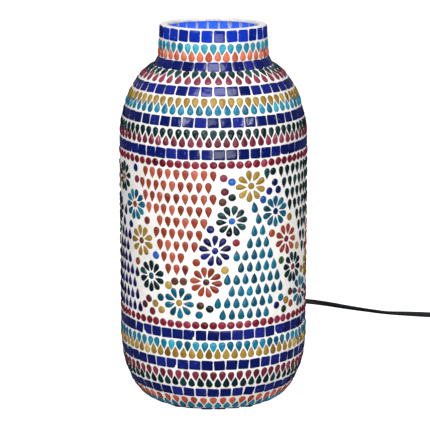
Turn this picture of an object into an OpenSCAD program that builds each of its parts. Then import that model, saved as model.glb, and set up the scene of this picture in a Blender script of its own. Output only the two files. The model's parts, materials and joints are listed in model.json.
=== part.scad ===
// Mosaic glass table lamp: a blown glass jar skinned with glass tesserae, lit from inside by a screw-in bulb.
// Frame: +Z up, the tabletop is z = 0, the jar's axis is the Z axis, and the front faces -Y.
// The mortar bed's outer face is the master outline. The glass lies inside it and the tesserae sit on it.

/* [Jar] */
// Height from the tabletop to the top of the rim
total_h = 344; // [300:1:400]
// Diameter over the mortar bed at the widest part
body_d = 164; // [140:1:196]
// Diameter over the mortar bed at the foot of the neck
neck_d = 94; // [80:1:106]
// How much narrower the neck's radius is at the rim than at its foot
neck_taper = 1.5; // [0:0.1:2.5]
// Height of the straight neck above its fillet
neck_h = 30.1; // [26:0.1:33]
// Radius of the fillet between shoulder and neck
neck_fillet = 6; // [5:0.5:8]
// Horizontal half-axis of the shoulder's ellipse
shoulder_rx = 40; // [37:0.5:44]
// Vertical half-axis of the shoulder's ellipse
shoulder_rz = 71; // [60:0.5:80]
// Horizontal half-axis of the heel's ellipse
heel_rx = 30; // [24:0.5:34]
// Vertical half-axis of the heel's ellipse
heel_rz = 58; // [50:0.5:64]
// Thickness of the blown glass wall
glass_t = 3; // [2.5:0.1:3.5]
// Thickness of the white mortar bed on the glass
bed_t = 2; // [1.5:0.1:2.5]
// Thickness of the mortar over the glass edge at the rim
rim_lip = 0.9; // [0.8:0.1:2]
// Gap between the tesserae's lowest point and the tabletop
ground_gap = 4; // [3:0.5:6]
// Height of the push-up in the bottom of the jar
punt_h = 14; // [13:0.5:18]
// Radius of the push-up where it leaves the flat bottom
punt_r = 34; // [30:0.5:37]

/* [Tesserae] */
// Thickness of every glass piece
piece_t = 2; // [1.5:0.1:2.5]
// Width of a square tile along its row
tile_w = 9.6; // [8:0.1:10]
// Height of a square tile
tile_h = 8.8; // [8:0.1:9.2]
// Smallest joint between two neighbouring tiles
tile_joint = 0.8; // [0.7:0.1:2]
// Length of a glass drop
drop_l = 9.8; // [9:0.1:10.2]
// Width of a glass drop
drop_w = 6.2; // [5:0.1:6.4]
// Smallest spacing of the drops in a band
drop_pitch = 7.4; // [7.2:0.1:9]
// Height of a band that holds two rows of interlocking drops
band_h = 15.6; // [15.4:0.1:18]
// Joint between a band or bead row and the tiles beside it
band_joint = 1.4; // [1:0.1:2.2]
// Diameter of a round glass bead
bead_d = 6.6; // [5:0.1:6.8]
// Spacing of the beads in a row
bead_pitch = 7.5; // [7.2:0.1:9]

/* [Flower panel] */
// Length of a flower's petal drop
petal_l = 9.6; // [8:0.1:9.8]
// Width of a flower's petal drop
petal_w = 5.5; // [4.4:0.1:5.8]
// Radius of a flower, to the ends of its petals
flower_r = 13.8; // [13.4:0.1:15]
// Diameter of a flower's middle bead
flower_bead_d = 5.6; // [5:0.1:6]
// Length of a field drop
field_l = 9.5; // [8:0.1:9.8]
// Width of a field drop
field_w = 5.8; // [4.8:0.1:6]
// Spacing of field drops along a row
field_pitch = 8; // [7.2:0.1:9]
// Spacing of the rows of field drops
field_row = 10.5; // [10.3:0.1:13]

/* [Lampholder and bulb] */
// Outer diameter of the threaded lamp pipe
pipe_d = 10; // [10:0.5:11]
// Bore of the threaded lamp pipe
pipe_bore = 8; // [7:0.5:8]
// Width across the flats of the pipe nuts
nut_af = 17; // [16:1:19]
// Outer radius of the lampholder's skirt
skirt_r = 21.5; // [20.5:0.5:24]
// Height of the lampholder's skirt above the porcelain
skirt_h = 31; // [28:1:34]
// Radius of the bulb's screw cap over its thread
bulb_cap_r = 13.1; // [13.1:0.1:13.2]
// Radial clearance between the bulb's cap and the holder's screw shell
thread_clearance = 0.5; // [0.4:0.1:0.7]
// Largest radius of the bulb
bulb_r = 30; // [27:1:32]
// Length of the bulb from its tip to its top
bulb_l = 108; // [100:1:115]

/* [Cord] */
// Width of the flat twin cord
cord_w = 5.4; // [5:0.1:5.6]
// Thickness of the flat twin cord
cord_t = 2.8; // [2.6:0.1:3]
// Length of the inline switch
switch_l = 58; // [54:1:64]
// Width of the inline switch
switch_w = 25; // [22:1:28]
// Height of the inline switch
switch_h = 17; // [16.5:0.5:20]
// Angle that the rocker turns between off and on
rocker_travel = 20; // [16:1:24]

/* [Hidden] */
$fn = 64;
TILE_ROWS = 9;
DROP_COLOURS = ["turquoise", "orange", "green", "maroon", "gold"];
FIELD_COLOURS = ["orange", "green", "turquoise", "navy"];
PETAL_COLOURS = ["gold", "green", "navy", "orange", "turquoise"];
eps = 0.01;

function glass_colour(name) =
    name == "turquoise" ? [0.10, 0.50, 0.58] :
    name == "orange" ? [0.75, 0.29, 0.18] :
    name == "green" ? [0.07, 0.20, 0.19] :
    name == "maroon" ? [0.50, 0.12, 0.22] :
    name == "gold" ? [0.66, 0.50, 0.14] : [0.08, 0.09, 0.45];

// ---------------------------------------------------------------- outline
// An outline point is [radius, height, angle of the outward normal above the horizontal].
body_r = body_d / 2;
neck_r = neck_d / 2;
heel_z = ground_gap + piece_t + heel_rz;
neck_top = total_h - rim_lip;
neck_foot = neck_top - neck_h;
arc_steps = 20;

function ellipse_point(cr, cz, rx, rz, a) =
    [cr + rx * cos(a), cz + rz * sin(a), atan2(sin(a) / rz, cos(a) / rx)];
function shoulder_point(a) = ellipse_point(body_r - shoulder_rx, 0, shoulder_rx, shoulder_rz, a);
// Radius at which a fillet that starts at the shoulder's angle a would run upright.
function fillet_end_r(a) = let (p = shoulder_point(a)) p[0] + neck_fillet * (cos(p[2]) - 1);
function shoulder_end(lo, hi, n) =
    n == 0 ? (lo + hi) / 2 :
    let (mid = (lo + hi) / 2)
    fillet_end_r(mid) > neck_r ? shoulder_end(mid, hi, n - 1) : shoulder_end(lo, mid, n - 1);

shoulder_stop = shoulder_end(20, 89, 30);
stop_point = shoulder_point(shoulder_stop);
fillet_rise = stop_point[1] + neck_fillet * sin(stop_point[2]);
shoulder_z = neck_foot - fillet_rise;

outline = concat(
    [for (i = [0:arc_steps])
        ellipse_point(body_r - heel_rx, heel_z, heel_rx, heel_rz, -90 + 90 * i / arc_steps)],
    [for (i = [0:arc_steps])
        let (p = shoulder_point(shoulder_stop * i / arc_steps)) [p[0], p[1] + shoulder_z, p[2]]],
    [for (i = [1:4])
        let (a = stop_point[2] * (1 - i / 4))
        [neck_r + neck_fillet * (1 - cos(a)), neck_foot - neck_fillet * sin(a), a]],
    [[neck_r - neck_taper, neck_top, 0]]);

function inset(p, t) = [p[0] - t * cos(p[2]), p[1] - t * sin(p[2])];
function inset_outline(t) = [for (p = outline) inset(p, t)];
function reversed(list) = [for (i = [len(list) - 1:-1:0]) list[i]];

// ---------------------------------------------------------------- places along the outline
function step_length(i) = norm([outline[i][0] - outline[i - 1][0], outline[i][1] - outline[i - 1][1]]);
function running(i, total) =
    i >= len(outline) ? [] : concat([total + step_length(i)], running(i + 1, total + step_length(i)));
distances = concat([0], running(1, 0));
outline_length = distances[len(outline) - 1];
radius_table = [for (i = [0:len(outline) - 1]) [distances[i], outline[i][0]]];
height_table = [for (i = [0:len(outline) - 1]) [distances[i], outline[i][1]]];
distance_table = [for (i = [0:len(outline) - 1]) [outline[i][1], distances[i]]];

// Point and normal angle at distance s from the start of the outline at the bottom of the heel.
function at(s) = [lookup(s, radius_table), lookup(s, height_table)];
function slope(s) = let (a = at(s - 0.5), b = at(s + 0.5)) atan2(a[0] - b[0], b[1] - a[1]);
// Where the meridian is hollow, a flat piece spans it, so it sits this much further out.
function seat_lift(s, length) =
    let (p = at(s), a = slope(s))
    max([for (k = [-18:18])
        let (q = at(s + k * length / 24), d = [q[0] - p[0], q[1] - p[1]])
        if (abs(d[1] * cos(a) - d[0] * sin(a)) <= length / 2 + 0.1)
            d[0] * cos(a) + d[1] * sin(a)]);
glue_gap = 0.05;

// Puts a piece on the bed: +Z is outward, +Y runs round to the right, and +X runs down the wall.
module seat(angle, s, length) {
    p = at(s);
    rotate([0, 0, angle - 90])
        translate([p[0], 0, p[1]])
            rotate([0, 90 - slope(s), 0])
                translate([0, 0, seat_lift(s, length) + glue_gap])
                    children();
}

// ---------------------------------------------------------------- layout of rows, from the two ends
row_step = tile_h + 2 * band_joint + band_h;
foot_margin = 0.8;
rim_margin = 0.3;
// The top row's tiles are taller, so that they reach almost to the rim.
rim_extra = 1.5;
function tile_length(k) = k == 1 ? tile_h + rim_extra : tile_h;
// Middle of course k: 1 to 5 hang from the rim, and 6 to 9 stand on the heel.
function course_s(k) =
    k <= 5 ? outline_length - rim_margin - rim_extra - tile_h / 2 - (k - 1) * row_step
           : foot_margin + tile_h / 2 + (TILE_ROWS - k) * row_step;
function tile_s(k) = course_s(k) + (tile_length(k) - tile_h) / 2;
// Middle of the band under tile row k.
function band_s(k) = course_s(k) - row_step / 2;
bead_row_step = tile_h / 2 + band_joint + bead_d / 2;
upper_bead_s = tile_s(5) - bead_row_step;
lower_bead_s = tile_s(6) + bead_row_step;
panel_top = upper_bead_s - bead_d / 2 - 1.2;
panel_bottom = lower_bead_s + bead_d / 2 + 1.2;

// Bands of drops: [tile row above, colour of the hanging upper drops, colour of the standing lower drops].
BANDS = [
    [1, "turquoise", "orange"],
    [2, "green", "maroon"],
    [3, "gold", "turquoise"],
    [4, "green", "maroon"],
    [6, "turquoise", "gold"],
    [7, "maroon", "green"],
    [8, "orange", "turquoise"]];

// Radius of a row's tighter edge, which sets how many pieces fit round it.
function tight_r(s, length) = min(at(s - length / 2)[0], at(s + length / 2)[0]);
function count_round(s, length, pitch) = floor(360 / (2 * asin(pitch / 2 / tight_r(s, length))));

// ---------------------------------------------------------------- single pieces
module tile(length) {
    translate([-length / 2, -tile_w / 2, 0])
        cube([length, tile_w, piece_t]);
}

// A drop whose point is at -X and whose round end is at +X.
module drop(length, width) {
    r = width / 2;
    linear_extrude(piece_t)
        union() {
            translate([length / 2 - r, 0])
                circle(r);
            polygon([[-length / 2, 0], [length / 2 - r, -0.94 * r], [length / 2 - r, 0.94 * r]]);
        }
}

module bead(d) {
    cylinder(d = d, h = piece_t);
}

// ---------------------------------------------------------------- rows and bands
module tile_row(k) {
    s = tile_s(k);
    length = tile_length(k);
    n = count_round(course_s(k), tile_h, tile_w + tile_joint);
    color([0.05, 0.05, 0.48])
        for (i = [0:n - 1])
            seat((i + 0.5 * (k % 2)) * 360 / n, s, length)
                tile(length);
}

module band_row(band, hanging) {
    s = band_s(band[0]) + (hanging ? 1 : -1) * (band_h - drop_l) / 2;
    n = count_round(band_s(band[0]), band_h, drop_pitch);
    color(glass_colour(hanging ? band[1] : band[2]))
        for (i = [0:n - 1])
            seat((i + (hanging ? 0 : 0.5)) * 360 / n, s, drop_l)
                rotate([0, 0, hanging ? 180 : 0])
                    drop(drop_l, drop_w);
}

module band_drops(colour) {
    for (band = BANDS) {
        if (band[1] == colour)
            band_row(band, true);
        if (band[2] == colour)
            band_row(band, false);
    }
}

module bead_row(s) {
    n = count_round(s, bead_d, bead_pitch);
    color(glass_colour("maroon"))
        for (i = [0:n - 1])
            seat(i * 360 / n, s, bead_d)
                bead(bead_d);
}

// ---------------------------------------------------------------- flower garland
// The garland zigzags round the jar. Its peaks and valleys are spaced by eye, in degrees from the front.
TURNS = [-70, -21, 23, 67, 111, 155, 200, 245, 290];
// Flowers of one leg: [share of the leg's angle, share of its height], from the leg's start.
// Legs fall and rise in turn, and the four patterns repeat.
LEGS = [
    [[0, 0], [0.30, 0.21], [0.43, 0.51], [0.60, 0.80]],
    [[0, 0], [0.38, 0.19], [0.50, 0.46], [0.73, 0.71]],
    [[0, 0], [0.40, 0.24], [0.62, 0.50], [0.78, 0.76]],
    [[0, 0], [0.36, 0.20], [0.50, 0.46], [0.72, 0.70]]];
FLOWERS = 32;
PETALS = [9, 10];
flower_reach = flower_r + 0.9;
garland_top = panel_top - flower_reach;
garland_bottom = panel_bottom + flower_reach;
// Colours of the flowers from the first peak on; the second half of the jar repeats them.
FLOWER_COLOURS = ["green", "turquoise", "gold", "green", "turquoise", "orange", "navy", "green",
    "gold", "turquoise", "orange", "green", "turquoise", "gold", "orange", "navy"];

function falls(leg) = leg % 2 == 0;
function flower_share(k) = LEGS[floor(k / 4) % 4][k % 4];
function flower_angle(k) =
    let (leg = floor(k / 4))
    TURNS[leg] + (TURNS[leg + 1] - TURNS[leg]) * flower_share(k)[0];
function flower_s(k) =
    let (down = falls(floor(k / 4)), from = down ? garland_top : garland_bottom,
         to = down ? garland_bottom : garland_top)
    from + (to - from) * flower_share(k)[1];
flowers = [for (k = [0:FLOWERS - 1]) [flower_angle(k), flower_s(k)]];

// Distance on the wall between two places given as [angle, s].
mm_per_degree = PI / 180 * body_r;
function wall_offset(p, q) = [((p[0] - q[0] + 900) % 360 - 180) * mm_per_degree, p[1] - q[1]];
function wall_gap(p, q) = norm(wall_offset(p, q));
function clear_of(p, places, far) = min([for (q = places) wall_gap(p, q)]) > far;

// Height of the garland's middle line at an angle, as a distance along the outline.
function turn_ratio(angle, k) =
    let (a = flowers[k][0], b = (k == FLOWERS - 1 ? flowers[0][0] + 360 : flowers[k + 1][0]),
         x = a + ((angle - a) % 360 + 360) % 360)
    x < b ? (x - a) / (b - a) : -1;
function garland_s(angle) =
    [for (k = [0:FLOWERS - 1]) let (u = turn_ratio(angle, k)) if (u >= 0)
        flowers[k][1] + u * (flowers[(k + 1) % FLOWERS][1] - flowers[k][1])][0];
function leg_of(angle) =
    [for (j = [0:7]) let (x = TURNS[j] + ((angle - TURNS[j]) % 360 + 360) % 360) if (x < TURNS[j + 1]) j][0];

// Accent beads cluster round the peaks and valleys, and lie in the notches on both sides of the garland.
// Clusters are [mm to the right, mm above] the turning flower.
PEAK_BEADS = [
    [-14, 12], [15, 13], [-17, 4.5], [22, 11], [-24, 8], [24, 1], [-23, -4], [18, -6], [-17, -9], [28, -6],
    [12, -13], [-25, -13], [-3, -17]];
VALLEY_BEADS = [
    [-18, 3], [19, -1.5], [-24, -3.5], [27, -4], [-17, -8], [18, -10], [-31, 0], [-27, -11], [-10, 15],
    [-4, 19], [26, 5], [-36, -6]];
notch = 15.5;
function unit(v) = v / norm(v);
function between(k) =
    let (a = flowers[k], b = flowers[(k + 1) % FLOWERS],
         along = [(((b[0] - a[0]) % 360 + 360) % 360) * mm_per_degree, b[1] - a[1]],
         side = unit([-along[1], along[0]]),
         mid = [a[0] + along[0] / 2 / mm_per_degree, (a[1] + b[1]) / 2],
         out = notch - norm(along) / 10)
    [for (w = [-1, 1]) [mid[0] + w * side[0] * out / mm_per_degree, mid[1] + w * side[1] * out]];
function cluster(j) =
    let (peak = j % 2 == 0, s = peak ? garland_top : garland_bottom)
    [for (place = peak ? PEAK_BEADS : VALLEY_BEADS) [TURNS[j] + place[0] / mm_per_degree, s + place[1]]];
all_accents = concat([for (j = [0:7]) each cluster(j)], [for (k = [0:FLOWERS - 1]) each between(k)]);
function inside_panel(p, reach) = p[1] + reach < panel_top && p[1] - reach > panel_bottom;
// An accent is laid where it clears the flowers and the accents laid before it.
function accent_fits(i) =
    let (p = all_accents[i])
    inside_panel(p, bead_d / 2) && clear_of(p, flowers, flower_r + bead_d / 2 + 0.35)
    && len([for (j = [0:1:i - 1]) if (wall_gap(p, all_accents[j]) < bead_d + 0.5) j]) == 0;
accents = [for (i = [0:len(all_accents) - 1]) if (accent_fits(i)) all_accents[i]];

module flower(k, colour) {
    petals = PETALS[k % 2];
    color(glass_colour(colour))
        for (i = [0:petals - 1])
            petal(k, (i + 0.35 * (k % 3)) * 360 / petals);
}

// One petal of flower k, its point towards the flower's middle.
module petal(k, turn) {
    reach = flower_r - petal_l / 2;
    angle = flowers[k][0] + reach * sin(turn) / mm_per_degree;
    seat(angle, flowers[k][1] + reach * cos(turn), petal_l)
        rotate([0, 0, 180 - turn])
            drop(petal_l, petal_w);
}

module petals(colour) {
    for (k = [0:FLOWERS - 1])
        if (FLOWER_COLOURS[k % 16] == colour)
            flower(k, colour);
}

module flower_beads() {
    color(glass_colour("gold"))
        for (f = flowers)
            seat(f[0], f[1], flower_bead_d)
                bead(flower_bead_d);
}

module accent_beads(first) {
    color(glass_colour(first == 0 ? "navy" : "maroon"))
        for (i = [first:2:len(accents) - 1])
            seat(accents[i][0], accents[i][1], bead_d)
                bead(bead_d);
}

// Fields: drops hang above the garland and stand below it, in staggered rows that start at the panel's edge.
field_rows = floor((panel_top - panel_bottom - field_l) / field_row);
field_n = floor(2 * PI * body_r / field_pitch);
function hangs(colour) = colour == "orange" || colour == "green";
function row_s(row, hanging) =
    let (edge = field_l / 2 + 0.4 + row * field_row) hanging ? panel_top - edge : panel_bottom + edge;
function field_place(row, i, hanging) = [(i + 0.5 * (row % 2)) * 360 / field_n, row_s(row, hanging)];
// Colour of the field at a place: the legs on either side of a valley hang, those either side of a peak stand.
function field_colour(p) =
    p[1] > garland_s(p[0])
        ? (floor((leg_of(p[0])) / 2) % 2 == 0 ? "orange" : "green")
        : (floor((leg_of(p[0]) + 1) / 2) % 2 == 0 ? "navy" : "turquoise");
// A drop is taller than it is wide, so it may come nearer to a round thing at its side than at its end.
function drop_clear(p, places, r) =
    let (squat = (r + field_w / 2) / (r + field_l / 2))
    min([for (q = places) let (d = wall_offset(p, q)) norm([d[0], d[1] * squat])]) > r + field_w / 2 + 0.4;
function field_fits(p) =
    inside_panel(p, field_l / 2 - 0.1) && drop_clear(p, flowers, flower_r) && drop_clear(p, accents, bead_d / 2);

module field_drops(colour) {
    hanging = hangs(colour);
    color(glass_colour(colour))
        for (row = [0:field_rows], i = [0:field_n - 1]) {
            p = field_place(row, i, hanging);
            if (field_colour(p) == colour && field_fits(p))
                seat(p[0], p[1], field_l)
                    rotate([0, 0, hanging ? 180 : 0])
                        drop(field_l, field_w);
        }
}

// ---------------------------------------------------------------- jar
glass_in = bed_t;
glass_bottom = ground_gap + piece_t + bed_t;
punt_top_r = punt_r - 12;
pipe_clearance = 0.25;
pipe_hole_r = pipe_d / 2 + pipe_clearance;
floor_z = glass_bottom + punt_h;
glass_foot_r = body_r - heel_rx;
lip_r = neck_r - neck_taper - bed_t - glass_t;

module glass_vessel() {
    outer = inset_outline(glass_in);
    inner = inset_outline(glass_in + glass_t);
    color([0.80, 0.90, 0.92, 0.4])
        rotate_extrude()
            polygon(concat(
                [[pipe_hole_r, floor_z], [punt_top_r, floor_z], [punt_r, glass_bottom]],
                outer,
                reversed(inner),
                [[punt_r - 1, glass_bottom + glass_t], [punt_top_r - 1, floor_z + glass_t],
                 [pipe_hole_r, floor_z + glass_t]]));
}

// The bed ends in a lip that covers the glass edge at the rim.
module mortar_bed() {
    outer = inset_outline(0);
    inner = inset_outline(glass_in);
    color([0.94, 0.93, 0.90])
        rotate_extrude()
            polygon(concat(
                outer,
                [[neck_r - neck_taper, total_h - 0.6], [neck_r - neck_taper - 0.6, total_h],
                 [lip_r + 0.6, total_h], [lip_r, total_h - 0.6], [lip_r, neck_top]],
                reversed(inner)));
}

foot_ring_r = (punt_r + glass_foot_r) / 2 + 0.5;
foot_d = 13;
module rubber_feet() {
    color([0.08, 0.08, 0.08])
        for (a = [45:90:315])
            rotate([0, 0, a])
                translate([foot_ring_r, 0, 0])
                    rotate_extrude()
                        polygon([[0, 0], [foot_d / 2 - 1.5, 0], [foot_d / 2, glass_bottom], [0, glass_bottom]]);
}

// ---------------------------------------------------------------- lamp pipe and its fastenings
washer_t = 1.5;
gasket_t = 1.5;
nut_h = 5;
screw_gap = 0.02;
stack_h = gasket_t + washer_t + nut_h;
inside_z = floor_z + glass_t;
pipe_bottom = floor_z - stack_h - 1.5;
holder_z = inside_z + stack_h;
pipe_grip = 10;

module ring(r_in, r_out, z, h) {
    translate([0, 0, z])
        rotate_extrude()
            translate([r_in, 0])
                square([r_out - r_in, h]);
}

module lamp_pipe() {
    color([0.78, 0.66, 0.38])
        ring(pipe_bore / 2, pipe_d / 2, pipe_bottom, holder_z + pipe_grip - pipe_bottom);
}

module pipe_nut(z) {
    translate([0, 0, z])
        difference() {
            cylinder(d = nut_af / cos(30), h = nut_h, $fn = 6);
            translate([0, 0, -1])
                cylinder(r = pipe_d / 2 + screw_gap, h = nut_h + 2);
        }
}

module pipe_nuts() {
    color([0.78, 0.66, 0.38]) {
        pipe_nut(inside_z + gasket_t + washer_t);
        pipe_nut(floor_z - stack_h);
    }
}

module steel_washers() {
    color([0.72, 0.72, 0.72]) {
        ring(pipe_hole_r, nut_af / 2 + 3, inside_z + gasket_t, washer_t);
        ring(pipe_hole_r, nut_af / 2 + 3, floor_z - gasket_t - washer_t, washer_t);
    }
}

module rubber_washers() {
    color([0.10, 0.10, 0.10]) {
        ring(pipe_hole_r, nut_af / 2 + 4.5, inside_z, gasket_t);
        ring(pipe_hole_r, nut_af / 2 + 4.5, floor_z - gasket_t, gasket_t);
    }
}

// ---------------------------------------------------------------- lampholder
holder_wall = 2;
cap_r = skirt_r - holder_wall - 0.1;
cap_h = 21;
flange_t = 3;
flange_z = holder_z + cap_h;
boss_h = 6;
boss_top = flange_z + flange_t + boss_h;
shell_r = bulb_cap_r + thread_clearance;
shell_t = 0.5;
shell_h = 27;
cap_neck_r = pipe_d / 2 + 4;

module holder_cap() {
    color([0.07, 0.07, 0.07])
        rotate_extrude()
            polygon([
                [pipe_d / 2 + screw_gap, holder_z], [cap_neck_r, holder_z], [cap_neck_r, holder_z + 6],
                [cap_r - 3, holder_z + 10], [cap_r, holder_z + 14], [cap_r, flange_z],
                [cap_r - holder_wall, flange_z], [cap_r - holder_wall, holder_z + 15],
                [cap_r - 4.5, holder_z + 12], [cap_neck_r, holder_z + pipe_grip],
                [pipe_d / 2 + screw_gap, holder_z + pipe_grip]]);
}

module holder_skirt() {
    shoulder = flange_z + flange_t;
    color([0.07, 0.07, 0.07])
        rotate_extrude()
            polygon([
                [cap_r + 0.1, holder_z + 15], [skirt_r, holder_z + 15], [skirt_r, shoulder + skirt_h - 1],
                [skirt_r - 1, shoulder + skirt_h], [skirt_r - 3, shoulder + skirt_h],
                [skirt_r - 3, shoulder + 2], [shell_r + shell_t + 0.6, shoulder + 2],
                [shell_r + shell_t + 0.6, shoulder], [cap_r + 0.1, shoulder]]);
}

terminal_x = 12;
wire_hole_r = 2.2;
module holder_porcelain() {
    color([0.92, 0.91, 0.88])
        difference() {
            union() {
                ring(0, cap_r, flange_z, flange_t);
                ring(0, shell_r - 0.3, flange_z + flange_t, boss_h);
            }
            for (side = [-1, 1])
                translate([0, side * 7, flange_z - 1])
                    cylinder(r = wire_hole_r, h = flange_t + boss_h + 2);
        }
}

module holder_screw_shell() {
    color([0.80, 0.70, 0.42])
        ring(shell_r, shell_r + shell_t, flange_z + flange_t, shell_h);
}

contact_t = 0.5;
contact_rise = 1;
tip_z = boss_top + contact_t + contact_rise;
module holder_contact() {
    color([0.80, 0.70, 0.42]) {
        translate([-10, -2.5, boss_top])
            cube([20, 5, contact_t]);
        translate([0, 0, boss_top + contact_t])
            cylinder(r = 2, h = contact_rise);
    }
}

module holder_terminal_screws() {
    color([0.72, 0.72, 0.72])
        for (side = [-1, 1])
            translate([side * terminal_x, 0, flange_z - 3]) {
                cylinder(r = 3, h = 2);
                cylinder(r = 1.5, h = 3);
            }
}

// ---------------------------------------------------------------- bulb
tip_r = 4.8;
tip_h = 1.5;
insulator_h = 4;
insulator_r = 10.5;
thread_z = tip_z + tip_h + insulator_h;
thread_h = 19;
thread_pitch = 3.63;
thread_depth = 0.8;
housing_z = thread_z + thread_h;
globe_z = tip_z + bulb_l - bulb_r;
housing_top = globe_z - 14;
globe_foot_r = sqrt(pow(bulb_r, 2) - pow(globe_z - housing_top, 2));
globe_wall = 1.2;

module bulb_tip() {
    color([0.75, 0.75, 0.75])
        ring(0, tip_r, tip_z, tip_h);
}

module bulb_insulator() {
    color([0.05, 0.05, 0.05])
        rotate_extrude()
            polygon([
                [0, tip_z + tip_h], [tip_r + 0.5, tip_z + tip_h],
                [insulator_r, tip_z + tip_h + insulator_h], [0, tip_z + tip_h + insulator_h]]);
}

// Rounds of thread are drawn as rings one pitch apart on a thin-walled cap.
module bulb_screw_cap() {
    rounds = floor(thread_h / thread_pitch);
    root_r = bulb_cap_r - thread_depth;
    color([0.78, 0.78, 0.74])
        rotate_extrude()
            polygon(concat(
                [[insulator_r - 1, thread_z], [root_r, thread_z]],
                [for (i = [0:rounds - 1]) each let (z = thread_z + i * thread_pitch)
                    [[root_r, z + 0.6], [bulb_cap_r, z + 1.5], [bulb_cap_r, z + 2.1], [root_r, z + 3]]],
                [[root_r, housing_z], [root_r - 0.6, housing_z], [root_r - 0.6, thread_z + 0.5],
                 [insulator_r - 1, thread_z + 0.5]]));
}

module bulb_housing() {
    foot = bulb_cap_r + 0.2;
    color([0.93, 0.93, 0.92])
        rotate_extrude()
            polygon([
                [0, housing_z], [foot, housing_z], [foot + 1, housing_z + 4],
                [globe_foot_r, housing_top], [globe_foot_r - 2, housing_top],
                [0, housing_top - 2]]);
}

// Hollow globe: the ball above the housing, less the ball inside it.
module bulb_diffuser() {
    color([0.97, 0.97, 0.94])
        rotate_extrude()
            difference() {
                intersection() {
                    translate([0, globe_z])
                        circle(bulb_r);
                    translate([0, housing_top])
                        square([bulb_r + 1, 2 * bulb_r]);
                }
                translate([0, globe_z])
                    circle(bulb_r - globe_wall);
            }
}

// ---------------------------------------------------------------- cord
// Height of the cord's middle under the jar, and where it lies on the table turned by an angle from upright.
hold_z = 1.6;
lie_z = cord_w / 2;
function rest_z(roll) = (cord_w - cord_t) / 2 * cos(roll) + cord_t / 2;
cord_sides = 8;
saddle_y = (punt_r + glass_foot_r) / 2;
exit_y = glass_foot_r + 4;
bend_r = 11;
switch_y = 165;
switch_z = switch_h / 2;
coil_x = 272;
coil_y = 235;
coil_out_r = 35;
coil_in_r = 23.5;
coil_h = 2 * cord_w + 0.2;

function tangent(route, i) =
    let (a = route[max(i - 1, 0)], b = route[min(i + 1, len(route) - 1)])
    unit([b[0] - a[0], b[1] - a[1], b[2] - a[2]]);
// The oval section at a route point: its long side stands up, turned by the point's own angle.
function section(route, i) =
    let (p = route[i], t = tangent(route, i), side = unit(cross(t, [0, 0, 1])), up = cross(side, t), roll = p[3])
    [for (k = [0:cord_sides - 1])
        let (a = 360 * (k + 0.5) / cord_sides, u = cord_t / 2 * cos(a), v = cord_w / 2 * sin(a),
             x = u * cos(roll) - v * sin(roll), y = u * sin(roll) + v * cos(roll))
        [p[0], p[1], p[2]] + x * side + y * up];

module swept_cord(route) {
    n = len(route);
    points = [for (i = [0:n - 1]) each section(route, i)];
    walls = [for (i = [0:n - 2], k = [0:cord_sides - 1])
        let (next = (k + 1) % cord_sides, here = i * cord_sides, there = here + cord_sides)
        each [[here + k, there + k, there + next], [here + k, there + next, here + next]]];
    ends = [[for (k = [0:cord_sides - 1]) k], [for (k = [cord_sides - 1:-1:0]) (n - 1) * cord_sides + k]];
    color([0.03, 0.03, 0.04])
        polyhedron(points = points, faces = concat(walls, ends), convexity = 8);
}

// The held length of cord: down the pipe, round the bend under the jar, and out through the saddle.
inside_top = holder_z + pipe_grip + 3;
module cord_inside() {
    color([0.03, 0.03, 0.04]) {
        translate([-cord_w / 2, -cord_t / 2, hold_z + bend_r])
            cube([cord_w, cord_t, inside_top - hold_z - bend_r]);
        translate([0, bend_r, hold_z + bend_r])
            rotate([0, 90, 0])
                rotate([0, 0, -90])
                    rotate_extrude(angle = 90)
                        translate([bend_r - cord_t / 2, -cord_w / 2])
                            square([cord_t, cord_w]);
        translate([-cord_w / 2, bend_r, hold_z - cord_t / 2])
            cube([cord_w, exit_y - bend_r, cord_t]);
    }
}

// A stick-on saddle under the flat ring of the jar, open below, holds the cord where it leaves.
saddle_w = 13;
saddle_l = 9;
slot_gap = 0.15;
saddle_gap = 0.2;
module cord_saddle() {
    color([0.06, 0.06, 0.06])
        difference() {
            translate([-saddle_w / 2, saddle_y - saddle_l / 2, saddle_gap])
                cube([saddle_w, saddle_l, glass_bottom - saddle_gap]);
            translate([-cord_w / 2 - slot_gap, saddle_y - saddle_l, -1])
                cube([cord_w + 2 * slot_gap, 2 * saddle_l, 1 + hold_z + cord_t / 2 + slot_gap]);
        }
}

module cord_coil() {
    color([0.03, 0.03, 0.04])
        translate([coil_x, coil_y, 0])
            ring(coil_in_r, coil_out_r, 0, coil_h);
}

// ---------------------------------------------------------------- inline switch
shell_wall = 1.8;
corner_r = 6;
part_z = switch_h / 2;
window_l = 19;
window_w = 11;
rocker_z = switch_h - 4.5;
rocker_gap = 0.35;
rocker_l = window_l - 2 * rocker_gap;
rocker_w = window_w - 2 * rocker_gap;
rocker_r = rocker_l / 2;
pivot_r = 1.5;
pivot_gap = 0.05;

module switch_plan(grow, h) {
    l = switch_l / 2 - corner_r;
    w = switch_w / 2 - corner_r;
    linear_extrude(h)
        union() {
            square([2 * (w + corner_r + grow), 2 * l], center = true);
            square([2 * w, 2 * (l + corner_r + grow)], center = true);
            for (x = [-w, w], y = [-l, l])
                translate([x, y])
                    circle(corner_r + grow);
        }
}

// The round way in for the cord at both ends, along the parting line.
module cord_ports() {
    translate([0, 0, part_z])
        rotate([90, 0, 0])
            cylinder(r = cord_w / 2 + 0.2, h = switch_l + 2, center = true);
}

SCREW_PLACES = [[0, -switch_l / 2 + 10], [0, switch_l / 2 - 10]];
screw_r = 1.5;
screw_head_r = 2.8;
screw_head_h = 2;
boss_r = 3.4;

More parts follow.
